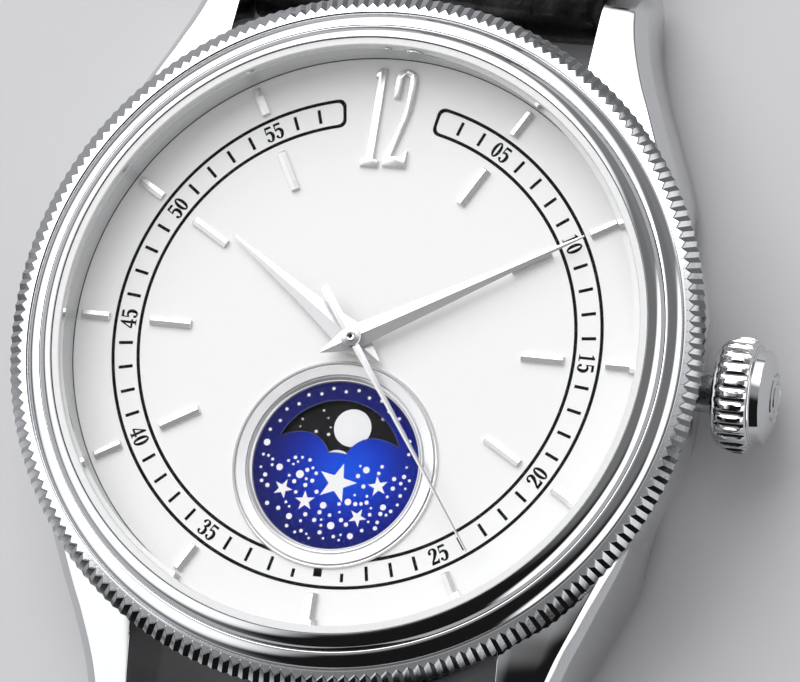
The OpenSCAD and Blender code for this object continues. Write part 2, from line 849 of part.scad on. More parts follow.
module cannon_wheel() {
    color(brass_c) difference() {
        union() {
            translate([0, 0, z_lev_a]) gear(48, m_third, 0.3);
            translate([0, 0, z_lev_a]) cylinder(r = tube_1, h = z_minute + 0.25 - z_lev_a);
            translate([0, 0, z_l1]) gear(12, m_cannon, 0.25);
        }
        translate([0, 0, z_lev_a - 1]) cylinder(r = tube_1_bore, h = 9);
    }
}

module fourth_wheel() {
    color(brass_c) {
        translate([0, 0, z_bridge + 0.1]) cylinder(r = pivot_r, h = z_second + 0.25 - z_bridge);
        translate([0, 0, z_lev_c]) gear(30, m_step, 0.2, ph_fourth);
        translate([0, 0, z_lev_b]) gear(6, m_fourth, 0.3, ph_fourth);
    }
}

module third_wheel() {
    color(brass_c) at(third_p) {
        translate([0, 0, z_bridge + 0.1]) cylinder(r = pivot_r, h = z_plate_top - z_bridge - 0.2);
        translate([0, 0, z_lev_b]) gear(45, m_fourth, 0.3, ph_third);
        translate([0, 0, z_lev_a]) gear(6, m_third, 0.3, ph_third);
    }
}

module step_wheel() {
    color(white_c) at(step_p) {
        translate([0, 0, z_bridge + 0.1]) cylinder(r = pivot_r, h = z_plate_top - z_bridge - 0.2);
        translate([0, 0, z_lev_d]) gear(36, m_rotor, 0.2, ph_step);
        translate([0, 0, z_lev_c]) gear(6, m_step, 0.2, ph_step);
    }
}

module rotor() {
    color(dark_steel) at(rotor_p) {
        translate([0, 0, z_bridge + 0.1]) cylinder(r = pivot_r, h = z_plate_top - z_bridge - 0.2);
        translate([0, 0, z_lev_d]) gear(6, m_rotor, 0.2, ph_rotor);
        translate([0, 0, z_lev_c + 0.35]) cylinder(r = magnet_r, h = 0.9);
    }
}

module hour_wheel() {
    color(brass_c) difference() {
        union() {
            translate([0, 0, z_l2]) gear(40, m_hour, 0.25, ph_hour);
            translate([0, 0, z_l3]) gear(16, m_hour, 0.25, ph_hour);
            translate([0, 0, z_l2]) cylinder(r = tube_2, h = z_hour + 0.25 - z_l2);
        }
        translate([0, 0, z_l2 - 1]) cylinder(r = tube_2_bore, h = 9);
    }
}

module minute_wheel() {
    color(brass_c) at(minute_p) difference() {
        union() {
            translate([0, 0, z_l1]) gear(36, m_cannon, 0.25, ph_minute);
            translate([0, 0, z_l1]) cylinder(r = 0.5, h = z_l2 - z_l1);
            translate([0, 0, z_l2]) gear(10, m_hour, 0.25, ph_minute);
        }
        translate([0, 0, z_l1 - 1]) cylinder(r = post_r + run, h = 3);
    }
}

module setting_wheel() {
    color(brass_c) translate([setting_x, 0, 0]) {
        translate([0, 0, z_l1]) gear(10, m_cannon, 0.25, ph_setting);
        translate([0, 0, z_plate + 0.05]) gear(14, m_cannon * 0.9, 0.4);
        translate([0, 0, z_plate + 0.1]) cylinder(r = 0.25, h = z_l1 - z_plate);
    }
}

module day_wheel() {
    color(brass_c) at(day_p) difference() {
        union() {
            translate([0, 0, z_l3]) gear(32, m_hour, 0.25, ph_day);
            translate([0, 0, z_l3]) cylinder(r = 0.45, h = z_l4 + 0.2 - z_l3);
            translate([0, 0, z_l4]) rotate([0, 0, -12]) translate([0, -0.16, 0])
                cube([1.9 * move_k, 0.32, 0.2]);
        }
        translate([0, 0, z_l3 - 1]) cylinder(r = post_r + run, h = 3);
    }
}

// Disc with the night sky and two moons, one tooth a day
module moon_disc() {
    pitch = 360 / moon_teeth;
    color([0.03, 0.03, 0.05]) translate([0, moon_y, 0]) difference() {
        union() {
            translate([0, 0, z_l4]) linear_extrude(0.2) polygon(
                [for (i = [0 : moon_teeth - 1]) for (s = [-1, 1]) for (k = [0, 1])
                    let (wide = (s < 0) == (k == 0))
                    let (a = pitch * (i + s * (wide ? 0.22 : 0.1)))
                    let (r = moon_tip_r - (wide ? 0.35 : 0))
                    [r * cos(a), r * sin(a)]]);
            translate([0, 0, z_plate_top + run]) cylinder(r = 0.6, h = z_l4 - z_plate_top);
            translate([0, 0, z_l4]) cylinder(r = window_r * 0.294, h = 0.26);
        }
        translate([0, 0, z_plate_top - 1]) cylinder(r = post_r + run, h = 4);
    }
}

module crown_gasket() {
    color(rubber_c) translate([0, 0, z_stem]) difference() {
        x_rod(crown_hole_r - 0.02, crown_x + 0.4, crown_x + 1);
        x_rod(tube_r + 0.02, crown_x, crown_x + 2);
    }
}

crown_end = crown_len + 0.7;
module crown() {
    color(steel) translate([crown_x, 0, z_stem]) rotate([0, 90, 0]) difference() {
        rotate_extrude() polygon([
            [crown_hole_r, 0],
            [crown_r - 0.25, 0],
            [crown_r, 0.25],
            [crown_r, crown_len - 0.2],
            [crown_r - 0.28, crown_len],
            [crown_r - 0.63, crown_len],
            [crown_r - 0.83, crown_end],
            [crown_r - 0.93, crown_end + 0.12],
            [crown_r - 1.88, crown_end + 0.5],
            [crown_r - 1.98, crown_end + 0.44],
            [crown_r - 2.08, crown_end + 0.54],
            [0, crown_end + 0.65],
            [0, crown_end - 0.15],
            [stem_r, crown_end - 0.15],
            [stem_r, crown_len - 0.15],
            [crown_hole_r, crown_len - 0.15]
        ]);
        for (i = [0 : flute_n - 1])
            rotate([0, 0, 360 / flute_n * i]) translate([crown_r + 0.08, 0, -1])
                cylinder(r = 0.27, h = crown_len + 1.02, $fn = 24);
    }
}

module stem() {
    color(steel) translate([0, 0, z_stem]) {
        x_rod(0.25, setting_x + 0.3, clutch_x - move_k);
        x_rod(0.35, clutch_x - move_k, groove_x - 0.4);
        x_rod(0.55, groove_x - 0.4, groove_x);
        x_rod(0.3, groove_x, groove_x + 0.6 * move_k);
        x_rod(stem_r, groove_x + 0.6 * move_k, crown_x + crown_end - 0.15);
    }
}

module sliding_pinion() {
    color(steel) translate([0, 0, z_stem]) difference() {
        union() {
            x_rod(clutch_r, clutch_x, clutch_x + 0.4 * move_k);
            x_rod(clutch_r - 0.35, clutch_x, clutch_x + clutch_len);
            x_rod(clutch_r, clutch_x + 0.8 * move_k, clutch_x + clutch_len);
        }
        x_rod(0.35 + run, clutch_x - 1, clutch_x + 3);
    }
}

lever_z = z_stem - 1.25;
lever_t = 0.4;
module setting_lever() {
    pin = [groove_x + 0.3 * move_k, -0.55 * move_k];
    color(steel) translate([0, 0, lever_z]) difference() {
        union() {
            at(lever_p) cylinder(r = 0.7, h = lever_t);
            link(lever_p, pin, 0.5, lever_t);
            at(pin) cylinder(r = 0.3, h = lever_t);
            at(pin) cylinder(r = pin_r, h = 1.15);
        }
        at(lever_p) translate([0, 0, -1]) cylinder(r = post_r + 0.06, h = 3);
    }
}

module yoke() {
    pin = [clutch_x + 0.6 * move_k, 0.85 * move_k];
    color(steel) translate([0, 0, lever_z]) difference() {
        union() {
            at(yoke_p) cylinder(r = 0.7, h = lever_t);
            link(yoke_p, pin, 0.5, lever_t);
            at(pin) cylinder(r = 0.3, h = lever_t);
            at(pin) cylinder(r = pin_r, h = 1.4);
        }
        at(yoke_p) translate([0, 0, -1]) cylinder(r = post_r + 0.06, h = 3);
    }
}

// Padded end round the spring bar, with a thin lip that fills the gap to the case
module strap_head() {
    pad_z = bar_z + 2.5;
    intersection() {
        side(-strap_w / 2, strap_w / 2) {
            translate([bar_y, bar_z]) circle(r = strap_end_r);
            polygon([
                [bar_y - 1.5, bar_z + 0.6],
                [bar_y - 1.25, bar_z + 1.4],
                [bar_y - 0.6, bar_z + 2],
                [bar_y + 0.6, bar_z + 2.35],
                [bar_y + 2.6, pad_z],
                [bar_y + 5.6, pad_z],
                [bar_y + 5.6, flat_z],
                [bar_y, bar_z - strap_end_r],
                [bar_y, bar_z]
            ]);
            translate([bar_y - 6, bar_z - 0.8]) square([6, 1.6]);
        }
        difference() {
            translate([-strap_w / 2, 0, -1]) cube([strap_w, bar_y + 6, 20]);
            translate([0, 0, -2]) cylinder(r = case_r + 0.3, h = 30, $fn = 180);
        }
    }
}

module bar_hole(y, z, r) {
    translate([0, y, z]) x_rod(r, -strap_w, strap_w);
}

lining_y = bar_y + 4.1;
module strap_12() {
    top_z = flat_z + strap_t;
    color(leather_c) difference() {
        union() {
            strap_head();
            intersection() {
                side(-strap_w / 2, strap_w / 2) {
                    polygon([
                        [bar_y + 3, bar_z - strap_end_r],
                        [lining_y, flat_z],
                        [lining_y, flat_z + lining_t],
                        [buckle_y - 4.4, flat_z + lining_t],
                        [buckle_y - 4.4, flat_z],
                        [buckle_y, flat_z],
                        [buckle_y, top_z],
                        [bar_y + 38, top_z],
                        [bar_y + 29, top_z + 0.15],
                        [bar_y + 19, top_z + 0.65],
                        [bar_y + 11, bar_z + 2.2],
                        [bar_y + 5.6, bar_z + 2.5],
                        [bar_y + 3, bar_z + 2.5]
                    ]);
                    translate([buckle_y, buckle_z]) circle(r = strap_t / 2);
                }
                linear_extrude(20) strap_plan(buckle_y + strap_t);
            }
        }
        translate([0, 0, -1]) linear_extrude(flat_z + lining_t + 1) square_between(
            lining_y, buckle_y - 4.4);
        bar_hole(bar_y, bar_z, bar_r + run);
        bar_hole(buckle_y, buckle_z, buckle_bar_r + run);
        translate([-1.5, buckle_y - 1.8, -1]) cube([3, 5, 20]);
    }
}

module square_between(y0, y1) {
    translate([-strap_w / 2 - 1, y0]) square([strap_w + 2, y1 - y0]);
}

// Plan of the tapering strap out to a given y
module strap_plan(y1) {
    polygon([
        [-strap_w / 2, 0],
        [strap_w / 2, 0],
        [strap_w / 2, taper_y],
        [strap_half(buckle_y), buckle_y],
        [strap_half(buckle_y), y1],
        [-strap_half(buckle_y), y1],
        [-strap_half(buckle_y), buckle_y],
        [-strap_w / 2, taper_y]
    ]);
}

module strap_12_lining() {
    color(lining_c) intersection() {
        translate([0, 0, flat_z]) linear_extrude(lining_t) strap_plan(buckle_y);
        translate([-strap_w, lining_y, 0]) cube([strap_w * 2, buckle_y - 4.4 - lining_y, 20]);
    }
}

// Plan of the hole half, pointed at its end
module long_plan() {
    polygon([
        [-strap_w / 2, 0],
        [strap_w / 2, 0],
        [strap_w / 2, taper_y],
        [strap_end_w / 2, tip_y - 12],
        [strap_end_w / 2 - 1.6, tip_y - 4.5],
        [3, tip_y - 0.6],
        [0, tip_y],
        [-3, tip_y - 0.6],
        [-strap_end_w / 2 + 1.6, tip_y - 4.5],
        [-strap_end_w / 2, tip_y - 12],
        [-strap_w / 2, taper_y]
    ]);
}

// Side view of the hole half: upper line, then lower line raised by lift
module long_outline(lift, y0, y1) {
    intersection() {
        polygon([
            [bar_y + 3, bar_z - strap_end_r + lift],
            [lining_y, 1.2 + lift],
            [bar_y + 13.6, 0.4 + lift],
            [bar_y + 22.6, lift],
            [tip_y, lift],
            [tip_y, strap_t - 0.2],
            [bar_y + 47.6, strap_t],
            [bar_y + 32.6, strap_t + 0.6],
            [bar_y + 19.6, strap_t + 1.7],
            [bar_y + 11, bar_z + 2.2],
            [bar_y + 5.6, bar_z + 2.5],
            [bar_y + 3, bar_z + 2.5]
        ]);
        translate([y0, -1]) square([y1 - y0, 20]);
    }
}

module holes_6() {
    for (i = [0 : hole_n - 1])
        translate([0, tip_y - 22 - i * hole_pitch, -1]) cylinder(r = hole_r, h = 20);
}

module strap_6() {
    tip_in = tip_y - 3.4;
    color(leather_c) mirror([0, 1, 0]) difference() {
        union() {
            intersection() {
                strap_head();
                translate([-strap_w, 0, 0]) cube([strap_w * 2, lining_y, 20]);
            }
            intersection() {
                side(-strap_w / 2, strap_w / 2) {
                    long_outline(0, bar_y + 3, lining_y);
                    long_outline(lining_t, lining_y, tip_in);
                    long_outline(0, tip_in, tip_y);
                }
                linear_extrude(20) long_plan();
            }
        }
        bar_hole(bar_y, bar_z, bar_r + run);
        holes_6();
    }
}

module strap_6_lining() {
    color(lining_c) mirror([0, 1, 0]) difference() {
        intersection() {
            side(-strap_w / 2, strap_w / 2) difference() {
                long_outline(0, lining_y, tip_y - 3.4);
                long_outline(lining_t, 0, tip_y);
            }
            translate([0, 0, -1]) linear_extrude(20) long_plan();
        }
        holes_6();
    }
}

// Leather loop round the strap; low is where its lower band ends
module keeper(y, half_in, low) {
    high = flat_z + keeper_in_h;
    color(leather_c) translate([0, y + keeper_w / 2, 0]) rotate([90, 0, 0])
        linear_extrude(keeper_w) difference() {
            translate([-half_in - keeper_t, 0])
                square([(half_in + keeper_t) * 2, high + keeper_t]);
            translate([-half_in, low]) square([half_in * 2, high - low]);
        }
}

module fixed_keeper() {
    keeper(keeper_y, strap_half(keeper_y - keeper_w / 2) + run, flat_z);
}

module free_keeper() {
    keeper(free_y, strap_half(free_y - 8 - keeper_w / 2) + 0.1, flat_z - 0.1);
}

frame_in = strap_end_w / 2 + 0.2;
bar_rim = 5.95;
module buckle_frame() {
    y1 = buckle_y + frame_len;
    color(steel) difference() {
        intersection() {
            side(-frame_in - frame_w, frame_in + frame_w) polygon([
                [buckle_y - 1.3, buckle_z - 1.1],
                [buckle_y + 1.3, buckle_z - 1.3],
                [y1 - 1.6, 0],
                [y1 - 0.3, 0],
                [y1, 0.5],
                [y1, 1.9],
                [y1 - 0.5, 2.4],
                [buckle_y + 1.3, buckle_z + 1.25],
                [buckle_y - 0.9, buckle_z + 1.25],
                [buckle_y - 1.3, buckle_z + 0.9]
            ]);
            translate([0, 0, -1]) linear_extrude(10) difference() {
                polygon([
                    [-frame_in - frame_w + 0.4, buckle_y - 1.3],
                    [-frame_in - frame_w, buckle_y - 0.6],
                    [-frame_in - frame_w, y1 - 2],
                    [-frame_in - frame_w + 2, y1],
                    [frame_in + frame_w - 2, y1],
                    [frame_in + frame_w, y1 - 2],
                    [frame_in + frame_w, buckle_y - 0.6],
                    [frame_in + frame_w - 0.4, buckle_y - 1.3]
                ]);
                translate([-frame_in, buckle_y - 2]) square([frame_in * 2, bar_rim + 2]);
            }
        }
        bar_hole(buckle_y, buckle_z, buckle_bar_r);
    }
}

module buckle_bar() {
    color(steel) translate([0, buckle_y, buckle_z])
        x_rod(buckle_bar_r, -frame_in - frame_w + 0.3, frame_in + frame_w - 0.3);
}

module buckle_tongue() {
    y1 = buckle_y + frame_len;
    color(steel) difference() {
        union() {
            translate([0, buckle_y, buckle_z]) x_rod(buckle_bar_r + 0.6, -1.2, 1.2);
            side(-0.9, 0.9) polygon([
                [buckle_y, buckle_z + 0.3],
                [buckle_y, buckle_z + 1.35],
                [buckle_y + 1.5, buckle_z + 1.75],
                [buckle_y + 3.5, buckle_z + 1.7],
                [y1, 3.5],
                [y1 + 0.6, 3.2],
                [y1 + 0.6, 2.8],
                [y1 - 0.3, 2.7],
                [buckle_y + 5, buckle_z + 0.75],
                [buckle_y + 1.4, buckle_z + 0.75],
                [buckle_y + 0.9, buckle_z + 0.3]
            ]);
        }
        bar_hole(buckle_y, buckle_z, buckle_bar_r + run);
    }
}

case_middle();
bezel();
crystal();
crystal_gasket();
rehaut_ring();
case_back();
case_back_gasket();
crown_tube();
dial();
moon_plate();
moon_frame();
outer_indices();
inner_indices();
numeral_12();
movement_ring();
main_plate();
train_bridge();
movement_screws();
battery();
battery_clamp();
circuit_board();
quartz_can();
circuit_chip();
coil();
coil_core();
stator();
moon_jumper();
spring_bars();
minute_hand();
cannon_wheel();
second_hand();
fourth_wheel();
hour_hand();
hour_wheel();
day_wheel();
moon_disc();
third_wheel();
step_wheel();
rotor();
minute_wheel();
setting_wheel();
crown_gasket();
crown();
stem();
sliding_pinion();
setting_lever();
yoke();
strap_12();
strap_12_lining();
fixed_keeper();
free_keeper();
buckle_frame();
buckle_bar();
buckle_tongue();
strap_6();
strap_6_lining();
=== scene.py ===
import json
import random
from math import atan2, cos, degrees, exp, hypot, pi, radians, sin, sqrt, tau

import bmesh
import bpy
from mathutils import Matrix, Vector, noise


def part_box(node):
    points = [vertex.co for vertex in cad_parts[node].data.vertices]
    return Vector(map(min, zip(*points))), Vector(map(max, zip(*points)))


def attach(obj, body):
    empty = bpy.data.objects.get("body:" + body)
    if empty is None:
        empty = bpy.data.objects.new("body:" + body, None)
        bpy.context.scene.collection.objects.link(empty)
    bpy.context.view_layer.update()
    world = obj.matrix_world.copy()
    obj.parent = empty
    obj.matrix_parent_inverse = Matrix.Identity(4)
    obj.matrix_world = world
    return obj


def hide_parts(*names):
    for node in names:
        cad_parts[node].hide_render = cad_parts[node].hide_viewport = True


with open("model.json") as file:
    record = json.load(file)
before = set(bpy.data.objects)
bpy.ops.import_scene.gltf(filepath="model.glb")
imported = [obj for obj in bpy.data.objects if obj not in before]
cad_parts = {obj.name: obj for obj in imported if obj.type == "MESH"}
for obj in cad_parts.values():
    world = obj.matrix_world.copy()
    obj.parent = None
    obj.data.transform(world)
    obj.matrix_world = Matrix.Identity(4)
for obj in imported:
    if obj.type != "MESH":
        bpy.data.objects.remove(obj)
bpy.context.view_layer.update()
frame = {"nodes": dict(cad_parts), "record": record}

# Outlines are in millimetres; a finished mesh is in metres
mm = 0.001
print("frame loaded:", len(frame["nodes"]), "nodes")


# Colours and nodes

def linearColour(hexText):
    parts = [int(hexText[i:i + 2], 16) / 255 for i in (1, 3, 5)]
    return tuple(c / 12.92 if c <= 0.04045 else ((c + 0.055) / 1.055) ** 2.4
                 for c in parts) + (1.0,)


def addNode(tree, kind, settings=None, inputs=None):
    node = tree.nodes.new(kind)
    for name, value in (settings or {}).items():
        setattr(node, name, value)
    for name, value in (inputs or {}).items():
        if isinstance(value, bpy.types.NodeSocket):
            tree.links.new(value, node.inputs[name])
        else:
            node.inputs[name].default_value = value
    return node


def startMaterial(name, values):
    material = bpy.data.materials.new(name)
    material.use_nodes = True
    tree = material.node_tree
    shader = tree.nodes["Principled BSDF"]
    for socket, value in values.items():
        shader.inputs[socket].default_value = value
    return material, tree, shader


def feed(tree, shader, outputs):
    for socket, output in outputs.items():
        tree.links.new(output, shader.inputs[socket])


def objectPlace(tree):
    return addNode(tree, "ShaderNodeTexCoord").outputs["Object"]


def objectNoise(tree, perMillimetre, detail=2.0, roughness=0.5, stretch=(1, 1, 1)):
    # Object coordinates are in metres, so the scale is the count of bumps in a metre
    mapped = addNode(tree, "ShaderNodeMapping", inputs={"Vector": objectPlace(tree),
                                                        "Scale": stretch})
    return addNode(tree, "ShaderNodeTexNoise",
                   inputs={"Vector": mapped.outputs[0], "Scale": perMillimetre * 1000,
                           "Detail": detail, "Roughness": roughness}).outputs["Fac"]


def spread(tree, source, low, high, fromLow=0.0, fromHigh=1.0):
    return addNode(tree, "ShaderNodeMapRange", inputs={
        "Value": source, "From Min": fromLow, "From Max": fromHigh, "To Min": low,
        "To Max": high}).outputs[0]


def mixColours(tree, factor, first, second):
    first, second = [linearColour(c) if isinstance(c, str) else c for c in (first, second)]
    return addNode(tree, "ShaderNodeMix", {"data_type": "RGBA"},
                   {0: factor, 6: first, 7: second}).outputs[2]


def either(tree, first, second):
    return addNode(tree, "ShaderNodeMath", {"operation": "MAXIMUM"},
                   {0: first, 1: second}).outputs[0]


def bumped(tree, height, deep, strength=1.0, under=None):
    # Normal of bumps so many millimetres deep, over another such normal where one is given
    inputs = {"Strength": strength, "Distance": deep * mm, "Height": height}
    if under is not None:
        inputs["Normal"] = under
    return addNode(tree, "ShaderNodeBump", inputs=inputs).outputs[0]


# Meshes

def shift(bm, vec, verts=None):
    bmesh.ops.translate(bm, vec=vec, verts=verts or bm.verts)


def turn(bm, angle, axis, verts=None):
    bmesh.ops.rotate(bm, cent=(0, 0, 0), matrix=Matrix.Rotation(angle, 3, axis),
                     verts=verts or bm.verts)


def resize(bm, factors, verts=None):
    bmesh.ops.scale(bm, vec=factors, verts=verts or bm.verts)


def shade(bm, sharp):
    # Smooth, apart from edges between faces that meet at more than the angle
    for face in bm.faces:
        face.smooth = True
    for edge in bm.edges:
        edge.smooth = edge.calc_face_angle(0.0) < radians(sharp)


def addObject(name, bm):
    mesh = bpy.data.meshes.new(name)
    bm.to_mesh(mesh)
    bm.free()
    piece = bpy.data.objects.new(name, mesh)
    bpy.context.collection.objects.link(piece)
    return piece


def dress(piece, material, replaced, body):
    piece.data.materials.append(material)
    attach(piece, body)
    if replaced:
        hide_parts(*replaced)


def finish(name, bm, material, replaced=(), slot="polished_steel", body="case", sharp=32,
           merge=True):
    resize(bm, (mm, mm, mm))
    if merge:
        bmesh.ops.remove_doubles(bm, verts=bm.verts, dist=2e-7)
    bmesh.ops.recalc_face_normals(bm, faces=bm.faces)
    shade(bm, sharp)
    piece = addObject(name, bm)
    dress(piece, material, replaced, body)
    return piece


def plainObject(name, bm, size=mm):
    resize(bm, (size, size, size))
    bmesh.ops.recalc_face_normals(bm, faces=bm.faces)
    return addObject(name, bm)


def soften(bm, width, angle, segments, above=-100.0):
    # Rounds the edges above a height, between faces that meet at more than the angle
    picked = [e for e in bm.edges if e.calc_face_angle(0.0) > radians(angle)
              and min(v.co.z for v in e.verts) > above]
    bmesh.ops.bevel(bm, geom=picked, offset=width, offset_type="OFFSET", segments=segments,
                    profile=0.5, affect="EDGES", clamp_overlap=True, material=-1)


def spinOutline(bm, outline, steps, closed=True):
    verts = [bm.verts.new((r, 0, z)) for r, z in outline]
    pairs = list(zip(verts, verts[1:])) + ([(verts[-1], verts[0])] if closed else [])
    edges = [bm.edges.new(pair) for pair in pairs]
    bmesh.ops.spin(bm, geom=verts + edges, cent=(0, 0, 0), axis=(0, 0, 1), angle=tau,
                   steps=steps, use_merge=True, use_duplicate=False)
    bmesh.ops.remove_doubles(bm, verts=bm.verts, dist=1e-5)


def turned(name, outline, steps, material, closed=True, alongX=False, centre=None, **how):
    # Piece turned on a lathe from (radius, height), about the Z axis or laid along X
    bm = bmesh.new()
    spinOutline(bm, outline, steps, closed)
    if alongX:
        turn(bm, pi / 2, "Y")
    if centre:
        shift(bm, centre)
    finish(name, bm, material, **how)


def loft(bm, sections):
    # Joins loops with the same number of points, one after another, and closes both ends
    rings = []
    for section in sections:
        verts = [bm.verts.new(point) for point in section]
        rings.append([bm.edges.new(pair) for pair in zip(verts, verts[1:] + verts[:1])])
    for first, second in zip(rings, rings[1:]):
        bmesh.ops.bridge_loops(bm, edges=first + second)
    for ring in (rings[0], rings[-1]):
        bmesh.ops.edgeloop_fill(bm, edges=ring)


def slab(bm, outlines, low, high):
    # Fills flat outlines, with holes where one lies in another, between two heights
    curve = bpy.data.curves.new("outline", "CURVE")
    curve.dimensions = "2D"
    curve.fill_mode = "BOTH"
    curve.extrude = (high - low) / 2
    for points in outlines:
        spline = curve.splines.new("POLY")
        spline.points.add(len(points) - 1)
        for point, (x, y) in zip(spline.points, points):
            point.co = (x, y, 0, 1)
        spline.use_cyclic_u = True
    holder = bpy.data.objects.new("outline", curve)
    mesh = bpy.data.meshes.new_from_object(holder)
    count = len(bm.verts)
    bm.from_mesh(mesh)
    bm.verts.ensure_lookup_table()
    shift(bm, (0, 0, (low + high) / 2), bm.verts[count:])
    bpy.data.objects.remove(holder)
    bpy.data.curves.remove(curve)
    bpy.data.meshes.remove(mesh)


def addRod(bm, radius, length, segments):
    return bmesh.ops.create_cone(bm, cap_ends=True, segments=segments, radius1=radius,
                                 radius2=radius, depth=length)["verts"]


def cutBy(piece, cutter, sharp):
    carve = piece.modifiers.new("carve", "BOOLEAN")
    carve.operation = "DIFFERENCE"
    carve.solver = "EXACT"
    carve.object = cutter
    bpy.context.view_layer.update()
    graph = bpy.context.evaluated_depsgraph_get()
    mesh = bpy.data.meshes.new_from_object(piece.evaluated_get(graph))
    piece.modifiers.clear()
    old = piece.data
    piece.data = mesh
    mesh.name = old.name
    bpy.data.meshes.remove(old)
    bpy.data.objects.remove(cutter)
    bm = bmesh.new()
    bm.from_mesh(mesh)
    shade(bm, sharp)
    bm.to_mesh(mesh)
    bm.free()


def polar(radius, angle, centre=(0, 0)):
    # The angle is in degrees
    return (centre[0] + radius * cos(radians(angle)), centre[1] + radius * sin(radians(angle)))


def arcPoints(radius, start, end, count, centre=(0, 0)):
    return [polar(radius, start + (end - start) * i / count, centre) for i in range(count + 1)]


def circlePoints(radius, count, centre=(0, 0)):
    return arcPoints(radius, 0, 360 - 360 / count, count - 1, centre)


def between(table, place):
    # Reads a value between the rows of (place, value)
    if place <= table[0][0]:
        return table[0][1]
    for (a, first), (b, second) in zip(table, table[1:]):
        if place <= b:
            return first + (second - first) * (place - a) / (b - a)
    return table[-1][1]


# Camera, light and floor

cameraView = {
    "place": (0.086927, -0.066500, 0.302352),
    "right": (0.95857244, 0.15385601, -0.23972319),
    "up": (-0.09336663, 0.96479546, 0.24587066),
    "back": (0.26911253, -0.21330269, 0.93919136),
    "lens": 240.53,
}
lens = bpy.data.cameras.new("camera")
lens.lens = cameraView["lens"]
lens.sensor_width = 36
lens.clip_start = 0.01
camera = bpy.data.objects.new("camera", lens)
facing = Matrix((cameraView["right"], cameraView["up"], cameraView["back"])).transposed()
camera.matrix_world = Matrix.Translation(cameraView["place"]) @ facing.to_4x4()
bpy.context.collection.objects.link(camera)
bpy.context.scene.camera = camera
bpy.context.scene.view_settings.view_transform = "Standard"

studio = {
    "keyAzimuth": 122, "keyHeight": 47, "keyDistance": 0.75, "keySize": 0.78, "keyPower": 5.3,
    "plainLevel": 0.5, "darkLevel": 0.012, "paleColour": "#EDEDEE",
    "floorColour": "#D0D0D2", "floorGrain": "#CCCCCE", "floorHalf": 1.5, "floorTop": -0.00005,
    # Name, level, and azimuth, height, bright radius and outer radius in degrees
    "panels": [("farWall", 0.3, (88, 0, 60, 88)), ("leftWall", 0.22, (205, -5, 25, 50)),
               ("sideWall", 0.24, (22, 56, 20, 38)), ("ceiling", 0.42, (150, 68, 26, 42)),
               ("upperPanel", 1.75, (118, 46, 30, 39)), ("backPanel", 1.75, (105, 28, 20, 28)),
               ("sidePanel", 1.65, (165, 36, 22, 30)), ("leftPanel", 1.6, (203, 36, 20, 36)),
               ("rightPanel", 1.9, (330, 4, 21, 31)), ("crownPanel", 1.9, (6, 3, 21, 31))],
}


def towards(azimuth, height):
    return Vector((*polar(cos(radians(height)), azimuth), sin(radians(height))))


def glow(tree, place, azimuth, height, inner, outer):
    # 1 within the inner angle of a direction, fading to 0 at the outer angle
    near = addNode(tree, "ShaderNodeVectorMath", {"operation": "DOT_PRODUCT"},
                   {0: place.outputs["Generated"], 1: towards(azimuth, height)})
    return addNode(tree, "ShaderNodeMapRange", {"interpolation_type": "SMOOTHSTEP"},
                   {"Value": near.outputs["Value"], "From Min": cos(radians(outer)),
                    "From Max": cos(radians(inner))}).outputs[0]


def grey(level):
    return (level, level, level, 1)


def buildWorld():
    world = bpy.data.worlds.new("studio")
    bpy.context.scene.world = world
    world.use_nodes = True
    tree = world.node_tree
    path = addNode(tree, "ShaderNodeLightPath")
    place = addNode(tree, "ShaderNodeTexCoord")
    # Polished steel sees soft walls and white panels, and a dark side where the camera stands
    mirrored = grey(studio["darkLevel"])
    for _, level, (azimuth, height, inner, outer) in studio["panels"]:
        mirrored = mixColours(tree, glow(tree, place, azimuth, height, inner, outer), mirrored,
                              grey(level))
    seen = mixColours(tree, path.outputs["Is Glossy Ray"], grey(studio["plainLevel"]), mirrored)
    clear = either(tree, path.outputs["Is Camera Ray"], path.outputs["Is Transmission Ray"])
    feed(tree, tree.nodes["Background"],
         {"Color": mixColours(tree, clear, seen, studio["paleColour"])})


def buildKey():
    light = bpy.data.lights.new("keySoftBox", "AREA")
    light.shape = "SQUARE"
    light.size = studio["keySize"]
    light.energy = studio["keyPower"]
    box = bpy.data.objects.new("keySoftBox", light)
    away = towards(studio["keyAzimuth"], studio["keyHeight"])
    box.location = away * studio["keyDistance"]
    box.rotation_euler = away.to_track_quat("Z", "Y").to_euler()
    bpy.context.collection.objects.link(box)


def buildFloor():
    bm = bmesh.new()
    bmesh.ops.create_grid(bm, x_segments=1, y_segments=1, size=studio["floorHalf"])
    shift(bm, (0, 0, studio["floorTop"]))
    floor = addObject("floor", bm)
    # Paper sweep: matt, with a very faint cloudiness
    material, tree, shader = startMaterial("paperSweep", {"Roughness": 0.9,
                                                          "Specular IOR Level": 0.2})
    feed(tree, shader, {"Base Color": mixColours(
        tree, objectNoise(tree, 0.05, 3), studio["floorColour"], studio["floorGrain"])})
    floor.data.materials.append(material)


buildWorld()
buildKey()
buildFloor()
print("stage ready")


# Materials

def grained(name, colour, worn, smoothest, roughest, perMillimetre, values, blend=0.5,
            stretch=(1, 1, 1), bump=0.0):
    # Two near colours and a small change of gloss, in one pattern
    material, tree, shader = startMaterial(name, values)
    grain = objectNoise(tree, perMillimetre, 3, blend, stretch)
    feed(tree, shader, {"Base Color": mixColours(tree, grain, colour, worn),
                        "Roughness": spread(tree, grain, smoothest, roughest, 0.3, 0.7)})
    if bump:
        feed(tree, shader, {"Normal": bumped(tree, grain, bump)})
    return material


def metal(name, colour, worn, smoothest, roughest, perMillimetre, metallic=1.0, **how):
    return grained(name, colour, worn, smoothest, roughest, perMillimetre,
                   {"Metallic": metallic}, 0.6, **how)


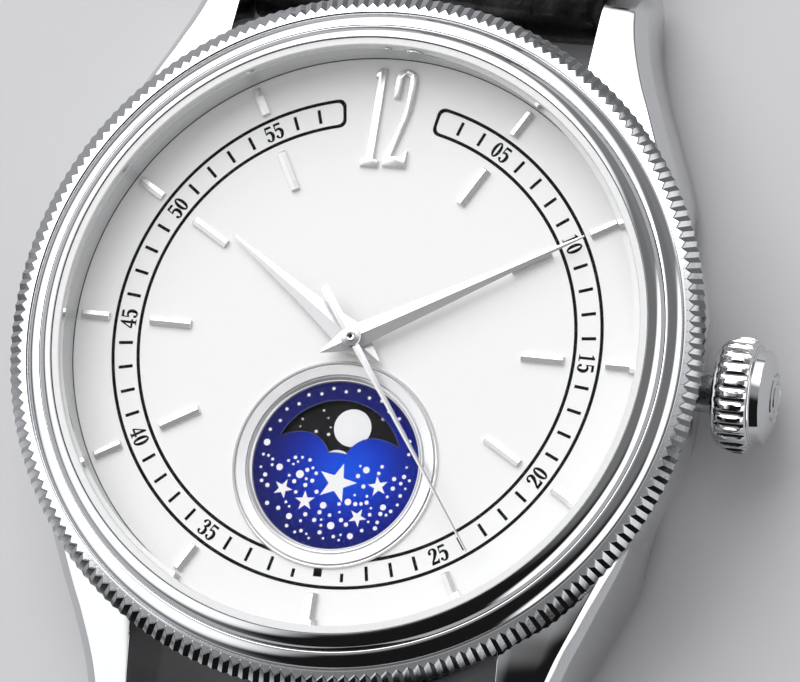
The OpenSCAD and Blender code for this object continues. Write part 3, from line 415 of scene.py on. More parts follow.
def plastic(name, colour, worn, roughness, perMillimetre, specular=0.5, **how):
    return grained(name, colour, worn, roughness, roughness * 1.3, perMillimetre,
                   {"Specular IOR Level": specular}, **how)


# Stainless steel 316L, machine polished: mirror bright, with faint cloudiness from the buff
polishedSteel = metal("steelPolished", "#D2D3D5", "#CCCDCF", 0.05, 0.08, 0.5)
# The same steel, knurled: the rolled flanks are a little less even; its colour, darker than the
# polished steel, is painted shade that makes the teeth look dark
knurledSteelPaintedShade = metal("steelKnurledPaintedShade", "#AFB0B3", "#A3A5A8", 0.08, 0.12, 6, bump=0.002)
# Stainless steel, brushed: fine lines along X, 0.05 mm apart, drawn at 0.1 mm so they show
brushedSteel = metal("steelBrushed", "#C9CACC", "#B4B6B9", 0.24, 0.36, 1.2,
                     stretch=(0.06, 8, 8), bump=0.004)
# Rhodium-plated brass, diamond cut: flat bright facets on hands and markers
rhodium = metal("rhodiumDiamondCut", "#DEDEE0", "#D8D8DA", 0.2, 0.26, 2, 0.6)
# Rhodium-plated ring, satin: gives the soft grey of the cone round the dial
satinRhodium = metal("rhodiumSatin", "#D4D5D6", "#CCCDCE", 0.3, 0.36, 3, 0.45)
# Nickel-plated movement steel, brass gears and copper wire inside the case
movementSteel = metal("steelMovement", "#B9BBBE", "#A3A6AA", 0.22, 0.32, 3)
gearBrass = metal("brassGear", "#D8B35F", "#C79C48", 0.2, 0.3, 4)
coilCopper = metal("copperEnamelled", "#B4642F", "#8F4A20", 0.25, 0.4, 12,
                   stretch=(1, 12, 1), bump=0.02)

# Brass dial plate under white lacquer: even, softly glossy
dialLacquer = plastic("lacquerWhite", "#FCFCFC", "#F9F9FA", 0.42, 2)
# Pad-printed ink, laid on thinly: dead black, slightly matt
printInk = plastic("inkBlack", "#060607", "#0C0C0D", 0.6, 8, 0.15)
# Pad-printed white on the moon plate
printWhite = plastic("inkWhite", "#FBFBFB", "#F1F2F4", 0.4, 8)
# Thin blue-grey edge left in the lacquer where the moon plate was cut through
cutEdge = plastic("lacquerEdge", "#4A4E7A", "#3A3E66", 0.35, 6)
# Black lacquer of the moon disc
nightLacquer = plastic("lacquerNight", "#050507", "#09090D", 0.5, 3, 0.15)
# Gaskets of black nitrile rubber and of clear nylon; the black rubber also colours the thin dark
# rings of painted shade at the cone ring's foot and at the gasket's seam
blackRubberAndShade = plastic("rubberNitrileAndShade", "#111112", "#19191A", 0.6, 4, bump=0.01)
clearGasket = plastic("gasketClear", "#E9E9EA", "#DFE0E1", 0.35, 3)
# Moulded holder and gears, fibreglass circuit board and potted chip inside the case
holderPlastic = plastic("plasticHolder", "#E2E0DB", "#D8D6D0", 0.5, 3)
gearPlastic = plastic("plasticGear", "#E9E6DF", "#DDD9D0", 0.45, 3)
boardGreen = plastic("boardGreen", "#1C5B39", "#17492E", 0.35, 3)
chipBlack = plastic("epoxyBlack", "#101112", "#1B1C1D", 0.5, 6)


def skyEnamel():
    # Blue lacquer: deep at the rim, brighter towards a point a little right of and below the
    # middle
    material, tree, shader = startMaterial("lacquerSky", {"Specular IOR Level": 0.12})
    centred = addNode(tree, "ShaderNodeMapping", {"vector_type": "TEXTURE"},
                      {"Vector": objectPlace(tree), "Location": (0.0008, -0.0078, 0.0068),
                       "Scale": (0.0054, 0.0048, 0.02)})
    ball = addNode(tree, "ShaderNodeTexGradient", {"gradient_type": "SPHERICAL"},
                   {"Vector": centred.outputs[0]})
    ramp = addNode(tree, "ShaderNodeValToRGB", inputs={"Fac": ball.outputs["Fac"]})
    ramp.color_ramp.interpolation = "B_SPLINE"
    stops = ramp.color_ramp.elements
    stops[0].color, stops[1].color = linearColour("#02064E"), linearColour("#0050E4")
    stops[1].position = 0.85
    for position, colour in ((0.3, "#031884"), (0.6, "#0136C8")):
        stops.new(position).color = linearColour(colour)
    fleck = objectNoise(tree, 4, 4)
    feed(tree, shader, {"Base Color": mixColours(tree, spread(tree, fleck, 0.0, 0.06),
                                                 ramp.outputs["Color"], "#2A2ED0"),
                        "Roughness": spread(tree, fleck, 0.25, 0.34)})
    return material


def mineralGlass():
    # Hardened mineral glass with an anti-reflection coating, so that it mirrors little
    material, tree, shader = startMaterial("glassMineral", {
        "Base Color": (1, 1, 1, 1), "Roughness": 0.0, "IOR": 1.52, "Transmission Weight": 1.0,
        "Specular Tint": (0.025, 0.025, 0.025, 1)})
    feed(tree, shader, {"Roughness": spread(tree, objectNoise(tree, 0.15, 2), 0.0, 0.004)})
    # Light that has already been scattered, and light from the lamps, passes straight through
    path = addNode(tree, "ShaderNodeLightPath").outputs
    through = either(tree, either(tree, path["Is Diffuse Ray"], path["Is Glossy Ray"]),
                     path["Is Shadow Ray"])
    clear = addNode(tree, "ShaderNodeBsdfTransparent", inputs={"Color": (0.97, 0.97, 0.97, 1)})
    both = addNode(tree, "ShaderNodeMixShader", inputs={0: through, 1: shader.outputs[0],
                                                        2: clear.outputs[0]})
    feed(tree, tree.nodes["Material Output"], {"Surface": both.outputs[0]})
    return material


def strapLeather():
    # Calf leather embossed with a crocodile pattern, glazed: glossy black, with fine pores
    material, tree, shader = startMaterial("calfGlazed", {
        "Coat Weight": 0.12, "Coat Roughness": 0.16, "Specular IOR Level": 0.18})
    pores = addNode(tree, "ShaderNodeTexVoronoi", inputs={
        "Vector": objectPlace(tree), "Scale": 2600.0, "Randomness": 0.9}).outputs["Distance"]
    wrinkle = objectNoise(tree, 1.1, 4, 0.6)
    feed(tree, shader, {
        "Base Color": mixColours(tree, wrinkle, "#030304", "#0D0D0E"),
        "Roughness": spread(tree, wrinkle, 0.3, 0.5, 0.3, 0.7),
        "Normal": bumped(tree, wrinkle, 0.12, 0.7, bumped(tree, pores, 0.03, 0.6))})
    return material


def liningLeather():
    # Split calf, buffed: soft dark brown nap with pores 0.5 mm apart
    material, tree, shader = startMaterial("calfLining", {"Roughness": 0.8,
                                                          "Sheen Weight": 0.2})
    pores = objectNoise(tree, 2, 4, 0.7)
    feed(tree, shader, {"Base Color": mixColours(tree, pores, "#3A2A20", "#573F30"),
                        "Normal": bumped(tree, pores, 0.05, 0.8)})
    return material


def waxedThread():
    # Waxed polyester thread: black, twisted, with a soft shine
    material, tree, shader = startMaterial("threadWaxed", {"Roughness": 0.45})
    twist = addNode(tree, "ShaderNodeTexWave", {"bands_direction": "DIAGONAL"},
                    {"Vector": objectPlace(tree), "Scale": 2200.0})
    feed(tree, shader, {"Base Color": mixColours(tree, twist.outputs["Fac"], "#0A0A0B",
                                                 "#2A2A2C")})
    return material


moonSky = skyEnamel()
glass = mineralGlass()
leather = strapLeather()
lining = liningLeather()
thread = waxedThread()
print("materials ready")


# Bezel

bezel = {"steps": 360, "teeth": 200, "tipRadius": 20.42, "valleyRadius": 20.13, "landLow": 9.53,
         "footRadius": 21.05, "footValley": 20.95, "foot": 9.0, "lean": -0.04}


def stepRound(start, end, steep, shallow, count=9):
    # Convex step from its outer foot to its inner top, with the slope easing off
    across, up = [0.0], [0.0]
    for i in range(count):
        angle = radians(steep + (shallow - steep) * (i + 0.5) / count)
        across.append(across[-1] + cos(angle))
        up.append(up[-1] + sin(angle))
    return [(start[0] + (end[0] - start[0]) * a / across[-1],
             start[1] + (end[1] - start[1]) * u / up[-1]) for a, u in zip(across, up)]


def buildBezel():
    outline = [(18.25, 8.5), (20.5, 8.5), (20.86, 8.55), (20.9, 8.66), (20.84, 8.85),
               (20.4, 8.9), (20.1, 9.3), (20.1, 9.54), (20.06, 9.56), (19.89, 9.575),
               (19.87, 9.56), (19.855, 9.5)]
    outline += stepRound((19.85, 9.46), (18.93, 10.12), 62, 13)
    outline += [(18.9, 10.115), (18.88, 10.06)]
    outline += stepRound((18.87, 10.08), (18.06, 10.82), 66, 15)
    outline += [(18.0, 10.84), (17.97, 10.8), (17.96, 9.3), (18.25, 9.3)]
    turned("bezelRing", outline, bezel["steps"], polishedSteel, replaced=["bezel"], sharp=38)

    # One tooth of the coin edge with half a hollow on each side, turned round the ring
    bm = bmesh.new()
    half = 180 / bezel["teeth"]
    lean = half * bezel["lean"] * 2
    tip, valley, land = bezel["tipRadius"], bezel["valleyRadius"], bezel["landLow"]
    wide, narrow, foot = bezel["footRadius"], bezel["footValley"], bezel["foot"]

    def spot(radius, angle, height):
        return bm.verts.new((*polar(radius, angle), height))

    rows = []
    for ridge, ridgeHeight, hollow, hollowHeight in (
            (tip, land, valley, land + 0.01),
            (tip + 0.08, land - 0.09, valley + 0.08, land - 0.07),
            (tip + 0.36, land - 0.31, valley + 0.44, land - 0.3), (wide, foot, narrow, foot),
            (wide - 0.02, foot - 0.2, narrow - 0.02, foot - 0.2)):
        rows.append([spot(hollow, -half, hollowHeight), spot(ridge, lean, ridgeHeight),
                     spot(hollow, half, hollowHeight)])
    inner = [spot(20.0, -half, foot - 0.2), spot(20.0, half, foot - 0.2),
             spot(19.96, -half, land + 0.042), spot(19.96, half, land + 0.042)]
    for high, low in zip(rows, rows[1:]):
        for i in (0, 1):
            bm.faces.new((low[i], low[i + 1], high[i + 1], high[i]))
    bm.faces.new((rows[0][0], rows[0][1], rows[0][2], inner[3], inner[2]))
    bm.faces.new((rows[-1][2], rows[-1][1], rows[-1][0], inner[0], inner[1]))
    bmesh.ops.spin(bm, geom=bm.verts[:] + bm.edges[:] + bm.faces[:], cent=(0, 0, 0),
                   axis=(0, 0, 1), angle=tau, steps=bezel["teeth"], use_duplicate=True,
                   use_merge=True)
    finish("bezelTeeth", bm, knurledSteelPaintedShade, sharp=12)


# Case, lugs and back

case = {"steps": 256, "crownHollow": 3.98, "crownHollowX": 22.9, "crownHeight": 4.0,
        "lugCut": 18.7, "lugInner": 11.15, "low": 0.9, "topFall": 0.42, "bevelWide": 0.68,
        "bevelFall": 0.84, "lugRound": 0.06,
        # Place along the strap and height of the inner edge, then place and reach of the ridge
        "lugTop": [(5.5, 8.45), (12.0, 8.4), (14.0, 8.2), (16.0, 7.87), (18.0, 7.4), (19.3, 7.0),
                   (20.65, 6.6), (21.34, 6.38), (21.94, 6.17), (22.45, 5.95), (22.8, 5.5),
                   (23.3, 4.7), (23.8, 3.85), (24.2, 3.1)],
        "ridge": [(5.5, 18.3), (8.5, 17.8), (10.1, 17.25), (11.5, 16.88), (13.0, 16.3),
                  (14.57, 15.64), (15.2, 15.38), (16.1, 15.0), (17.4, 14.42), (19.0, 13.83),
                  (20.3, 13.42), (21.6, 13.14), (22.8, 13.0), (24.2, 12.9)]}


def eased(table, place):
    # Averages the table over 0.9 mm, which rounds its corners
    return sum(between(table, place + 0.15 * i) for i in range(-3, 4)) / 7


def lugSection(y):
    top = eased(case["lugTop"], y)
    foot = case["low"] + max(0.0, y - 23.4)
    inner, ridge = case["lugInner"], eased(case["ridge"], y)
    # The flat top falls a little towards the ridge, and a steep bevel goes down from there
    fall = min(case["topFall"], (top - foot) * 0.2)
    wide = case["bevelWide"]
    outer = ridge + wide + 0.12
    # Near its root the side is drawn in, so that the round band covers it
    tuck = max(0.0, 12.0 - y) * 0.2
    edge = max(foot + 0.3, top - fall - case["bevelFall"])
    crest = [(inner + (ridge - inner) * share, y, top - fall * share)
             for share in (0.25, 0.5, 0.75, 1)]
    return [(inner, y, foot), (inner, y, foot + (top - foot) / 2), (inner, y, top)] + crest + [
        (ridge + wide / 2, y, (top - fall + edge) / 2), (ridge + wide, y, edge),
        (outer - tuck * 0.15, y, foot + (edge - foot) * 0.5), (outer - tuck, y, foot),
        ((inner + outer) / 2, y, foot)]


def buildCase():
    bm = bmesh.new()
    spinOutline(bm, [
        (17.0, 0.95), (18.4, 0.92), (18.9, 1.25), (19.5, 1.95), (19.95, 2.75), (20.25, 3.6),
        (20.48, 4.6), (20.6, 5.6), (20.65, 6.6), (20.64, 7.4), (20.58, 8.0), (20.42, 8.4),
        (20.25, 8.5), (18.25, 8.5), (18.25, 7.1), (17.7, 7.1), (17.7, 6.7), (17.0, 6.7)],
        case["steps"])
    band = plainObject("caseBand", bm)
    # Hollow in the band for the crown
    bm = bmesh.new()
    addRod(bm, case["crownHollow"], 6, 96)
    turn(bm, pi / 2, "Y")
    shift(bm, (case["crownHollowX"], 0, case["crownHeight"]))
    cutBy(band, plainObject("cutter", bm), 30)
    band.data.materials.clear()
    dress(band, polishedSteel, ["case_middle"], "case")

    bm = bmesh.new()
    rows = [5.5, 7.0, 8.5, 9.5, 10.1, 10.8, 11.6]
    rows += [12.5 + 11.7 * (i / 40) ** 0.92 for i in range(41)]
    loft(bm, [lugSection(y) for y in rows])
    soften(bm, case["lugRound"], 25, 3)
    for axis in ("X", "Y"):
        bmesh.ops.mirror(bm, geom=bm.verts[:] + bm.edges[:] + bm.faces[:],
                         matrix=Matrix.Identity(4), merge_dist=-1, axis=axis)
    lugs = finish("caseLugs", bm, polishedSteel)
    # The inside of the case, cut out of the roots of the lugs
    bm = bmesh.new()
    addRod(bm, case["lugCut"] * mm, 40 * mm, 180)
    cutBy(lugs, plainObject("cutter", bm, 1), 24)


def buildBack():
    turned("backPlate", [
        (0, 0.0), (6, 0.0), (13.9, 0.0), (14.5, 0.02), (15.2, 0.06), (17.35, 0.24), (17.8, 0.42),
        (18.0, 0.62), (18.0, 0.9), (16.95, 0.92), (16.9, 1.4), (15.45, 1.4), (15.45, 0.8),
        (0, 0.8)], 180, brushedSteel, closed=False, replaced=["case_back"],
        slot="brushed_steel", sharp=28)
    # Two plain turned rings
    bm = bmesh.new()
    for radius in (10.6, 13.4):
        spinOutline(bm, [(radius - 0.1, 0.02), (radius - 0.06, -0.0), (radius + 0.06, -0.0),
                         (radius + 0.1, 0.02)], 180)
    finish("backRings", bm, polishedSteel, slot="brushed_steel")


# Crown

crown = {"start": 21.2, "height": case["crownHeight"], "flutes": 28, "radius": 3.38,
         "around": 24, "cutter": 0.3, "cutterAt": 3.49}


def crownLoop(along, outer):
    # Hollow flutes with narrow ridges between them, under a turned outline
    count = crown["flutes"] * crown["around"]
    loop = []
    for i in range(count):
        angle = tau * i / count
        phase = (i / crown["around"]) % 1.0
        aside = (phase - 0.5) * tau * crown["radius"] / crown["flutes"]
        radius = outer
        if abs(aside) < crown["cutter"]:
            radius = min(outer, crown["cutterAt"] - sqrt(crown["cutter"] ** 2 - aside ** 2))
        loop.append((along, radius * cos(angle), radius * sin(angle)))
    return loop


def buildCrown():
    place = (crown["start"], 0, crown["height"])
    bm = bmesh.new()
    loft(bm, [crownLoop(along, outer) for along, outer in (
        (0.0, 2.8), (0.01, 2.92), (0.1, 3.03), (0.28, 3.15), (0.55, 3.27), (0.85, 3.35),
        (1.15, 3.38), (1.45, 3.385), (1.7, 3.36), (1.9, 3.29), (2.06, 3.18), (2.15, 3.06),
        (2.16, 2.9))])
    shift(bm, place)
    finish("crownBarrel", bm, polishedSteel, ["crown"], body="crown", sharp=28)
    turned("crownCap", [
        (2.98, 2.1), (3.0, 2.19), (2.96, 2.24), (2.84, 2.25), (2.8, 2.28), (2.76, 2.5),
        (2.72, 2.78), (2.66, 2.82), (2.6, 2.83), (2.3, 2.98), (2.0, 3.09), (1.7, 3.17),
        (1.5, 3.21), (1.46, 3.13), (1.36, 3.13), (1.32, 3.25), (1.02, 3.3), (0.96, 3.22),
        (0.86, 3.22), (0.82, 3.33), (0.5, 3.36), (0, 3.37)], 128, polishedSteel, closed=False,
        alongX=True, centre=place, body="crown")


# Crystal, gasket and cone ring

def buildCrystal():
    turned("crystal", [(0, 9.3), (17.43, 9.3), (17.46, 9.34), (17.46, 10.57), (17.44, 10.6),
                       (17.2, 10.84), (17.17, 10.85), (0, 10.85)], 360, glass, closed=False,
           replaced=["crystal"], slot="crystal_glass", sharp=8)
    turned("crystalGasket", [(17.49, 9.3), (17.93, 9.3), (17.93, 10.68), (17.9, 10.72),
                             (17.54, 10.72), (17.49, 10.67)], 240, clearGasket,
           replaced=["crystal_gasket"], slot="gasket_clear")
    turned("coneRing", [(17.36, 7.11), (17.3, 7.2), (17.4, 8.0), (17.36, 8.04), (17.46, 8.5),
                        (17.62, 9.1), (17.72, 9.28), (18.18, 9.28), (18.18, 7.12)], 360,
           satinRhodium, replaced=["rehaut_ring"], sharp=40)
    # Thin dark ring between the ring's foot and the dial: painted shade of the gap there
    turned("coneGapShade", [(17.26, 7.1), (17.26, 7.13), (17.34, 7.15), (17.34, 7.1)], 240,
           blackRubberAndShade, sharp=60)
    # Thin dark ring between the gasket and the bezel: painted shade of the seam there
    turned("gasketSeatShade", [(17.93, 10.3), (17.93, 10.7), (17.96, 10.7), (17.96, 10.3)], 240,
           blackRubberAndShade, sharp=60)


# Dial and printing

dial = {"top": 7.1, "thick": 0.4, "radius": 17.6, "bore": 0.72, "moonY": -7.5, "opening": 5.05,
        "trackOuter": 14.8, "trackInner": 13.25, "trackGap": 11.7, "line": 0.2,
        "tickIn": 13.6, "tickOut": 14.46, "tickWidth": 0.19, "shortTick": 13.95,
        "numberRadius": 14.02, "numberHeight": 0.98, "inkSunk": 0.01, "inkThick": 0.012}


def printOn(bm, outlines, level):
    # Ink stands out a little and is sunk a little, so that no two faces lie in one plane
    slab(bm, outlines, level - dial["inkSunk"], level + dial["inkThick"])


def bandOutline(outer, inner, start, end, corner):
    # Band between two radii from one angle to another (clockwise), with round corners
    outTurn, inTurn = degrees(corner / outer), degrees(corner / inner)

    def cornerArc(radius, angle, first, last):
        return arcPoints(corner, first, last, 8, polar(radius, angle))

    points = arcPoints(outer, start - outTurn, end + outTurn, 360)
    points += cornerArc(outer - corner, end + outTurn, end + outTurn, end - 90 + outTurn)[1:]
    points += cornerArc(inner + corner, end + inTurn, end - 90 + inTurn, end - 180 + inTurn)
    points += arcPoints(inner, end + inTurn, start - inTurn, 360)[1:]
    points += cornerArc(inner + corner, start - inTurn, start - 180 - inTurn,
                        start - 270 - inTurn)[1:]
    points += cornerArc(outer - corner, start - outTurn, start - 270 - outTurn,
                        start - 360 - outTurn)
    return points[:-1]


def barOutline(inner, outer, angle, width):
    ray = Vector(polar(1, angle))
    side = Vector((-ray.y, ray.x)) * width / 2
    return [tuple(ray * inner + side), tuple(ray * inner - side), tuple(ray * outer - side),
            tuple(ray * outer + side)]


def curvePath(points, steps=6):
    # Smooth path through points, each with any number of values
    rows = [points[0]] + list(points) + [points[-1]]
    path = []
    for a, b, c, d in zip(rows, rows[1:], rows[2:], rows[3:]):
        for i in range(steps):
            t = i / steps
            path.append(tuple(0.5 * (2 * q + (r - p) * t + (2 * p - 5 * q + 4 * r - s) * t * t
                                     + (3 * q - p - 3 * r + s) * t ** 3)
                              for p, q, r, s in zip(a, b, c, d)))
    path.append(tuple(points[-1]))
    return path


def stroke(*points):
    # Outline of a pen stroke along a smooth path through (x, y, width)
    path = curvePath(points)
    left, right = [], []
    for i, (x, y, width) in enumerate(path):
        before, after = path[max(0, i - 1)], path[min(len(path) - 1, i + 1)]
        along = Vector((after[0] - before[0], after[1] - before[1])).normalized()
        side = Vector((-along.y, along.x)) * width * 0.62
        left.append((x + side.x, y + side.y))
        right.append((x - side.x, y - side.y))
    return left + right[::-1]


def oval(x, y, halfWidth, halfHeight, count=28):
    return [(x + halfWidth * cos(tau * i / count), y + halfHeight * sin(tau * i / count))
            for i in range(count)]


def dot(x, y, radius):
    return [oval(x, y, radius, radius, 16)]


def bar(x0, y0, x1, y1):
    return [[(x0, y0), (x1, y0), (x1, y1), (x0, y1)]]


# Bold condensed digits with a height of 1, each a list of filled shapes
digitShapes = {
    "0": [[oval(0, 0.5, 0.27, 0.5), oval(0, 0.5, 0.08, 0.4)]],
    "1": [[[(-0.08, 0.05), (0.08, 0.05), (0.08, 1.0), (0.0, 1.0), (-0.2, 0.86), (-0.2, 0.8),
            (-0.08, 0.82)]], bar(-0.2, 0, 0.2, 0.06)],
    "2": [[stroke((-0.2, 0.74, 0.13), (-0.14, 0.9, 0.1), (0.02, 0.965, 0.07),
                  (0.16, 0.86, 0.14), (0.15, 0.66, 0.17), (0.0, 0.38, 0.12),
                  (-0.2, 0.12, 0.07))],
          [[(-0.26, 0), (0.25, 0), (0.28, 0.27), (0.22, 0.27), (0.17, 0.17), (-0.2, 0.17)]],
          dot(-0.17, 0.74, 0.085)],
    "3": [[stroke((-0.19, 0.8, 0.11), (-0.1, 0.93, 0.08), (0.03, 0.965, 0.07),
                  (0.15, 0.86, 0.14), (0.14, 0.68, 0.15), (0.0, 0.55, 0.06),
                  (-0.07, 0.54, 0.06))],
          [stroke((-0.07, 0.54, 0.06), (0.04, 0.53, 0.07), (0.17, 0.4, 0.16),
                  (0.16, 0.16, 0.16), (0.02, 0.035, 0.07), (-0.12, 0.06, 0.08),
                  (-0.2, 0.17, 0.11))],
          dot(-0.17, 0.79, 0.08), dot(-0.17, 0.18, 0.085)],
    "4": [[[(0.02, 0.22), (0.17, 0.22), (0.17, 1.0), (0.08, 1.0), (-0.28, 0.34), (-0.28, 0.22)],
           [(0.02, 0.34), (-0.19, 0.34), (0.02, 0.72)]],
          bar(0.02, 0.05, 0.17, 0.24), bar(-0.07, 0, 0.26, 0.06), bar(0.15, 0.22, 0.28, 0.34)],
    "5": [[[(-0.2, 1.0), (0.2, 1.0), (0.24, 0.85), (-0.13, 0.85), (-0.15, 0.55),
            (-0.21, 0.5)]],
          [stroke((-0.17, 0.54, 0.07), (-0.03, 0.62, 0.1), (0.14, 0.54, 0.15),
                  (0.19, 0.34, 0.17), (0.11, 0.1, 0.13), (-0.04, 0.03, 0.07),
                  (-0.18, 0.15, 0.11))],
          dot(-0.16, 0.17, 0.085)],
}


def printNumber(bm, text, radius, angle, height, inward):
    middle = Vector(polar(radius, angle))
    upright = Matrix.Rotation(radians(angle + 90 if inward else angle - 90), 2)
    for place, digit in enumerate(text):
        across = (place - (len(text) - 1) / 2) * height * 0.6
        for shape in digitShapes[digit]:
            printOn(bm, [[tuple(middle + upright @ Vector((across + x * height,
                                                           (y - 0.5) * height)))
                          for x, y in outline] for outline in shape], dial["top"])


def buildDial():
    top = dial["top"]
    bm = bmesh.new()
    slab(bm, [circlePoints(dial["radius"], 240), circlePoints(dial["bore"], 48),
              circlePoints(dial["opening"], 120, (0, dial["moonY"]))], top - dial["thick"], top)
    finish("dialPlate", bm, dialLacquer, ["dial"], "dial_white", sharp=25)

    # Track round the dial, open at 12, with its ticks and numbers
    bm = bmesh.new()
    line = dial["line"] / 2
    outer, inner, gap = dial["trackOuter"], dial["trackInner"], dial["trackGap"]
    edge = degrees(line / ((outer + inner) / 2))
    printOn(bm, [
        bandOutline(outer + line, inner - line, 90 - gap + edge, -270 + gap - edge, 0.46),
        bandOutline(outer - line, inner + line, 90 - gap - edge, -270 + gap + edge, 0.36)], top)
    for minute in range(3, 58):
        angle = 90 - minute * 6
        if minute == 30:
            printOn(bm, [barOutline(13.72, 14.2, angle, 0.5)], top)
        elif minute % 5:
            start = dial["shortTick"] if abs(minute - 30) == 1 else dial["tickIn"]
            printOn(bm, [barOutline(start, dial["tickOut"], angle, dial["tickWidth"])], top)
    for number in (5, 10, 15, 20, 25, 35, 40, 45, 50, 55):
        printNumber(bm, "%02d" % number, dial["numberRadius"], 90 - number * 6,
                    dial["numberHeight"], 20 <= number <= 40)
    finish("dialPrint", bm, printInk, slot="dial_white", sharp=25, merge=False)


# Moon window

moon = {"y": dial["moonY"], "window": 3.93, "humpX": 2.19, "humpY": 0.04, "humpRadius": 1.76,
        "outerHump": 2.53, "plateRadius": 5.38, "plateTop": 6.9, "plateLow": 6.7,
        "discTop": 6.6, "discLow": 6.4, "discRadius": 4.45, "bore": 0.36, "tubeRadius": 0.6,
        "tubeLow": 5.35, "moonX": 0.62, "moonUp": 2.34, "moonRadius": 1.13, "hub": 0.95}


def windowOutline():
    # Crescent over two clouds, from its left tip round the top and back over the clouds
    humpX, humpY, hump, flat = moon["humpX"], moon["humpY"], moon["humpRadius"], moon["outerHump"]
    # Over the right cloud, flatter on its outer side, to the notch, then the left one mirrored
    right = arcPoints(flat, 56.7, 90, 16, (humpX, humpY + hump - flat))
    right += arcPoints(hump, 90, 158.7, 30, (humpX, humpY))[1:]
    left = [(-x, y) for x, y in reversed(right)]
    outline = arcPoints(moon["window"], 180 - 21.5, 21.5, 72) + right
    outline += [(0.3, 0.72), (0, 0.735), (-0.3, 0.72)] + left
    return [(x, y + moon["y"]) for x, y in outline]


def starOutline(x, y, reach, lean):
    # Five points, with a waist at 0.4 of the reach
    return [(x + reach * share * sin(radians(lean + 36 * i)),
             y + reach * share * cos(radians(lean + 36 * i)))
            for i, share in enumerate((1, 0.4) * 5)]


skyMarks = {
    # Own layout of stars (x, y, reach, turn) and dots (x, y, radius), from the ring's centre
    "stars": [(0.25, -1.05, 1.22, 12), (2.75, -1.0, 0.62, -14), (-2.95, -1.7, 0.6, 20),
              (-1.5, -2.3, 0.62, -6), (1.8, -2.95, 0.56, 24)],
    "bigDots": [(-2.05, -0.75, 0.24), (-0.35, -2.45, 0.2), (1.9, -0.1, 0.2), (-4.35, 0.95, 0.2),
                (-3.35, -0.45, 0.2), (1.1, -2.1, 0.2), (0.3, -3.6, 0.22), (-2.3, -3.3, 0.18),
                (3.25, -2.2, 0.18), (1.55, -4.1, 0.18)],
    "dots": 78, "dotReach": 4.6, "dotGap": 0.22, "rimDots": 16, "discDots": 46,
}


def buildMoonPlate():
    low, top, y = moon["plateLow"], moon["plateTop"], moon["y"]
    outline = windowOutline()
    bm = bmesh.new()
    slab(bm, [circlePoints(moon["plateRadius"], 120, (0, y)), outline], low, top)
    finish("moonPlate", bm, moonSky, ["moon_plate"], "sky_enamel", sharp=25)

    # Blue-grey cut edge round the window
    bm = bmesh.new()
    shrunk = []
    for i, (px, py) in enumerate(outline):
        before, after = outline[i - 1], outline[(i + 1) % len(outline)]
        along = Vector((after[0] - before[0], after[1] - before[1]))
        along.normalize()
        shrunk.append((px + along.y * 0.03, py - along.x * 0.03))
    slab(bm, [outline, shrunk], low + 0.02, top + 0.008)
    finish("windowEdge", bm, cutEdge, slot="sky_enamel", sharp=25)

    bm = bmesh.new()
    taken = []
    for x, up, reach, lean in skyMarks["stars"]:
        printOn(bm, [starOutline(x, y + up, reach, lean)], top)
        taken.append((x, up, reach * 0.85))
    for x, up, radius in skyMarks["bigDots"]:
        printOn(bm, [circlePoints(radius, 20, (x, y + up))], top)
        taken.append((x, up, radius))
    drawn = random.Random(12)
    count = 0
    while count < skyMarks["dots"]:
        angle, away = drawn.uniform(0, tau), sqrt(drawn.uniform(0, 1)) * skyMarks["dotReach"]
        x, up = away * cos(angle), away * sin(angle)
        inWindow = up > 0.35 or (up > -0.45 and abs(x) < 1.2)
        if inWindow or any(hypot(x - a, up - b) < r + skyMarks["dotGap"] for a, b, r in taken):
            continue
        radius = drawn.choice((0.075, 0.09, 0.11, 0.13))
        printOn(bm, [circlePoints(radius, 12, (x, y + up))], top)
        taken.append((x, up, radius))
        count += 1
    for i in range(skyMarks["rimDots"]):
        place = polar(4.42 + 0.2 * (i % 2), 14 + i * 9.6, (0, y))
        printOn(bm, [circlePoints(0.1, 12, place)], top)
    finish("skyPrint", bm, printWhite, slot="sky_enamel", sharp=25, merge=False)

    turned("moonRing", [
        (4.98, 6.905), (4.99, 6.96), (5.06, 7.08), (5.22, 7.2), (5.27, 7.22), (5.31, 7.2),
        (5.33, 7.12), (5.36, 7.12), (5.375, 7.27), (5.4, 7.3), (5.94, 7.32), (5.97, 7.3),
        (5.985, 7.14), (6.02, 7.14), (6.035, 7.25), (6.07, 7.29), (6.12, 7.3), (6.18, 7.26),
        (6.23, 7.18), (6.24, 7.08)], 200, rhodium, centre=(0, y, 0), replaced=["moon_frame"],
        sharp=35)


def buildMoonDisc():
    # Black disc that turns under the plate, with two moons half a turn apart
    y, top, low = moon["y"], moon["discTop"], moon["discLow"]
    bore = circlePoints(moon["bore"], 32, (0, y))
    bm = bmesh.new()
    slab(bm, [circlePoints(moon["discRadius"], 118, (0, y)), bore], low, top)
    slab(bm, [circlePoints(moon["tubeRadius"], 32, (0, y)), bore], moon["tubeLow"], low)
    finish("moonDisc", bm, nightLacquer, ["moon_disc"], "night_enamel", "moon", 25)
    bm = bmesh.new()
    moonX, moonUp, radius = moon["moonX"], moon["moonUp"], moon["moonRadius"]
    for sign in (1, -1):
        printOn(bm, [circlePoints(radius, 64, (sign * moonX, y + sign * moonUp))], top)
    slab(bm, [circlePoints(moon["hub"], 64, (0, y)), bore], top - dial["inkSunk"], top + 0.06)
    drawn = random.Random(5)
    for _ in range(skyMarks["discDots"]):
        angle, away = drawn.uniform(0, tau), drawn.uniform(1.5, 3.9)
        x, up = away * cos(angle), away * sin(angle)
        if min(hypot(x - moonX, up - moonUp), hypot(x + moonX, up + moonUp)) > radius + 0.2:
            printOn(bm, [circlePoints(drawn.choice((0.05, 0.07, 0.1)), 10, (x, y + up))], top)
    finish("moonPrint", bm, printWhite, (), "night_enamel", "moon", 25, merge=False)


# Markers and numeral

